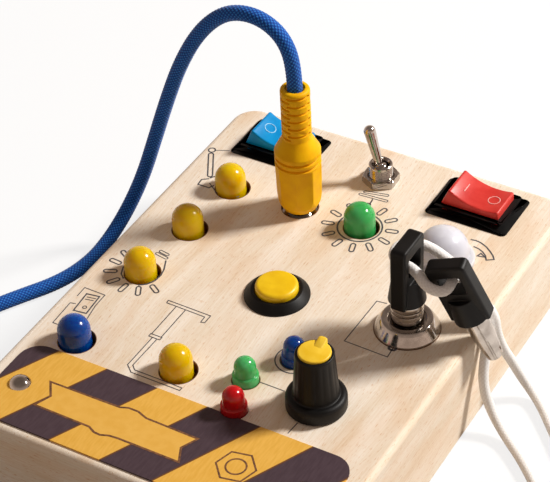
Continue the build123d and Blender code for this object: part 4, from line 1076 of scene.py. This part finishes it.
addPlateMarks(plaque)
print("print and scorch marks drawn")


# Floor, sky and one warm lamp behind the board's right corner

studio = {"lampAzimuth": 45, "lampElevation": 40, "lampDistance": 1.0, "lampSize": 0.16,
          "lampPower": 11.7, "lampColor": "#FFFBF6", "skyStrength": 0.27, "sky": "#FFE4D2",
          "mirroredHorizon": 0.9, "mirroredZenith": 0.24, "floorGlow": 0.8, "floorReach": 3.0,
          "floorDrop": 0.0001, "aimHeight": 0.02, "paper": "#A8A29A"}


def addStudio(s):
    size = s["floorReach"]
    data = bpy.data.meshes.new("floor")
    data.from_pydata([(-size, -size, 0), (size, -size, 0), (size, size, 0), (-size, size, 0)], [],
                     [(0, 1, 2, 3)])
    floor = newObject("floor", data)
    floor.location.z = -s["floorDrop"]
    material, tree, shader = newMaterial("paper_white", {"Roughness": 1.0, "Specular IOR Level": 0.0})
    path = addNode(tree, "LightPath")
    seen = mathOf(tree, "MAXIMUM", path.outputs["Is Camera Ray"], path.outputs["Is Glossy Ray"])
    seen = mathOf(tree, "MAXIMUM", seen, path.outputs["Is Transmission Ray"])
    white = colorMix(tree, seen, fromHex(s["paper"]), (1, 1, 1, 1))
    tree.links.new(white, shader.inputs["Base Color"])
    # the paper glows a little for the camera, so shadows on it stay faint
    glow = mathOf(tree, "MULTIPLY", path.outputs["Is Camera Ray"], s["floorGlow"])
    light = addNode(tree, "Emission")
    both = addNode(tree, "MixShader", {0: glow, 1: shader.outputs[0], 2: light.outputs[0]})
    tree.links.new(both.outputs[0], tree.nodes["Material Output"].inputs["Surface"])
    data.materials.append(material)

    turn, rise = math.radians(s["lampAzimuth"]), math.radians(s["lampElevation"])
    toLamp = Vector((math.cos(turn) * math.cos(rise), math.sin(turn) * math.cos(rise), math.sin(rise)))
    lamp = bpy.data.lights.new("window", "AREA")
    lamp.size = s["lampSize"]
    lamp.energy = s["lampPower"]
    lamp.color = fromHex(s["lampColor"])[:3]
    holder = newObject("window", lamp)
    holder.location = toLamp * s["lampDistance"] + Vector((0, 0, s["aimHeight"]))
    holder.rotation_euler = toLamp.to_track_quat("Z", "Y").to_euler()

    world = bpy.data.worlds.new("studio")
    world.use_nodes = True
    bpy.context.scene.world = world
    tree = world.node_tree
    ground = tree.nodes["Background"]
    path = addNode(tree, "LightPath")
    mirrored = mathOf(tree, "MAXIMUM", path.outputs["Is Glossy Ray"],
                      path.outputs["Is Transmission Ray"])
    # in a mirror the sky is white at the horizon and dark overhead, so metal keeps its contrast
    rise = addNode(tree, "SeparateXYZ", {0: addNode(tree, "TexCoord").outputs["Generated"]}).outputs[2]
    dome = mapped(tree, rise, 0.05, 0.7, s["mirroredHorizon"], s["mirroredZenith"])
    strength = numberMix(tree, mirrored, s["skyStrength"], dome)
    strength = numberMix(tree, path.outputs["Is Camera Ray"], strength, 1.0)
    tree.links.new(strength, ground.inputs["Strength"])
    tint = colorMix(tree, path.outputs["Is Camera Ray"], fromHex(s["sky"]), (1, 1, 1, 1))
    tree.links.new(tint, ground.inputs["Color"])
    bpy.context.scene.view_settings.view_transform = "Standard"


addStudio(studio)
print("studio ready")
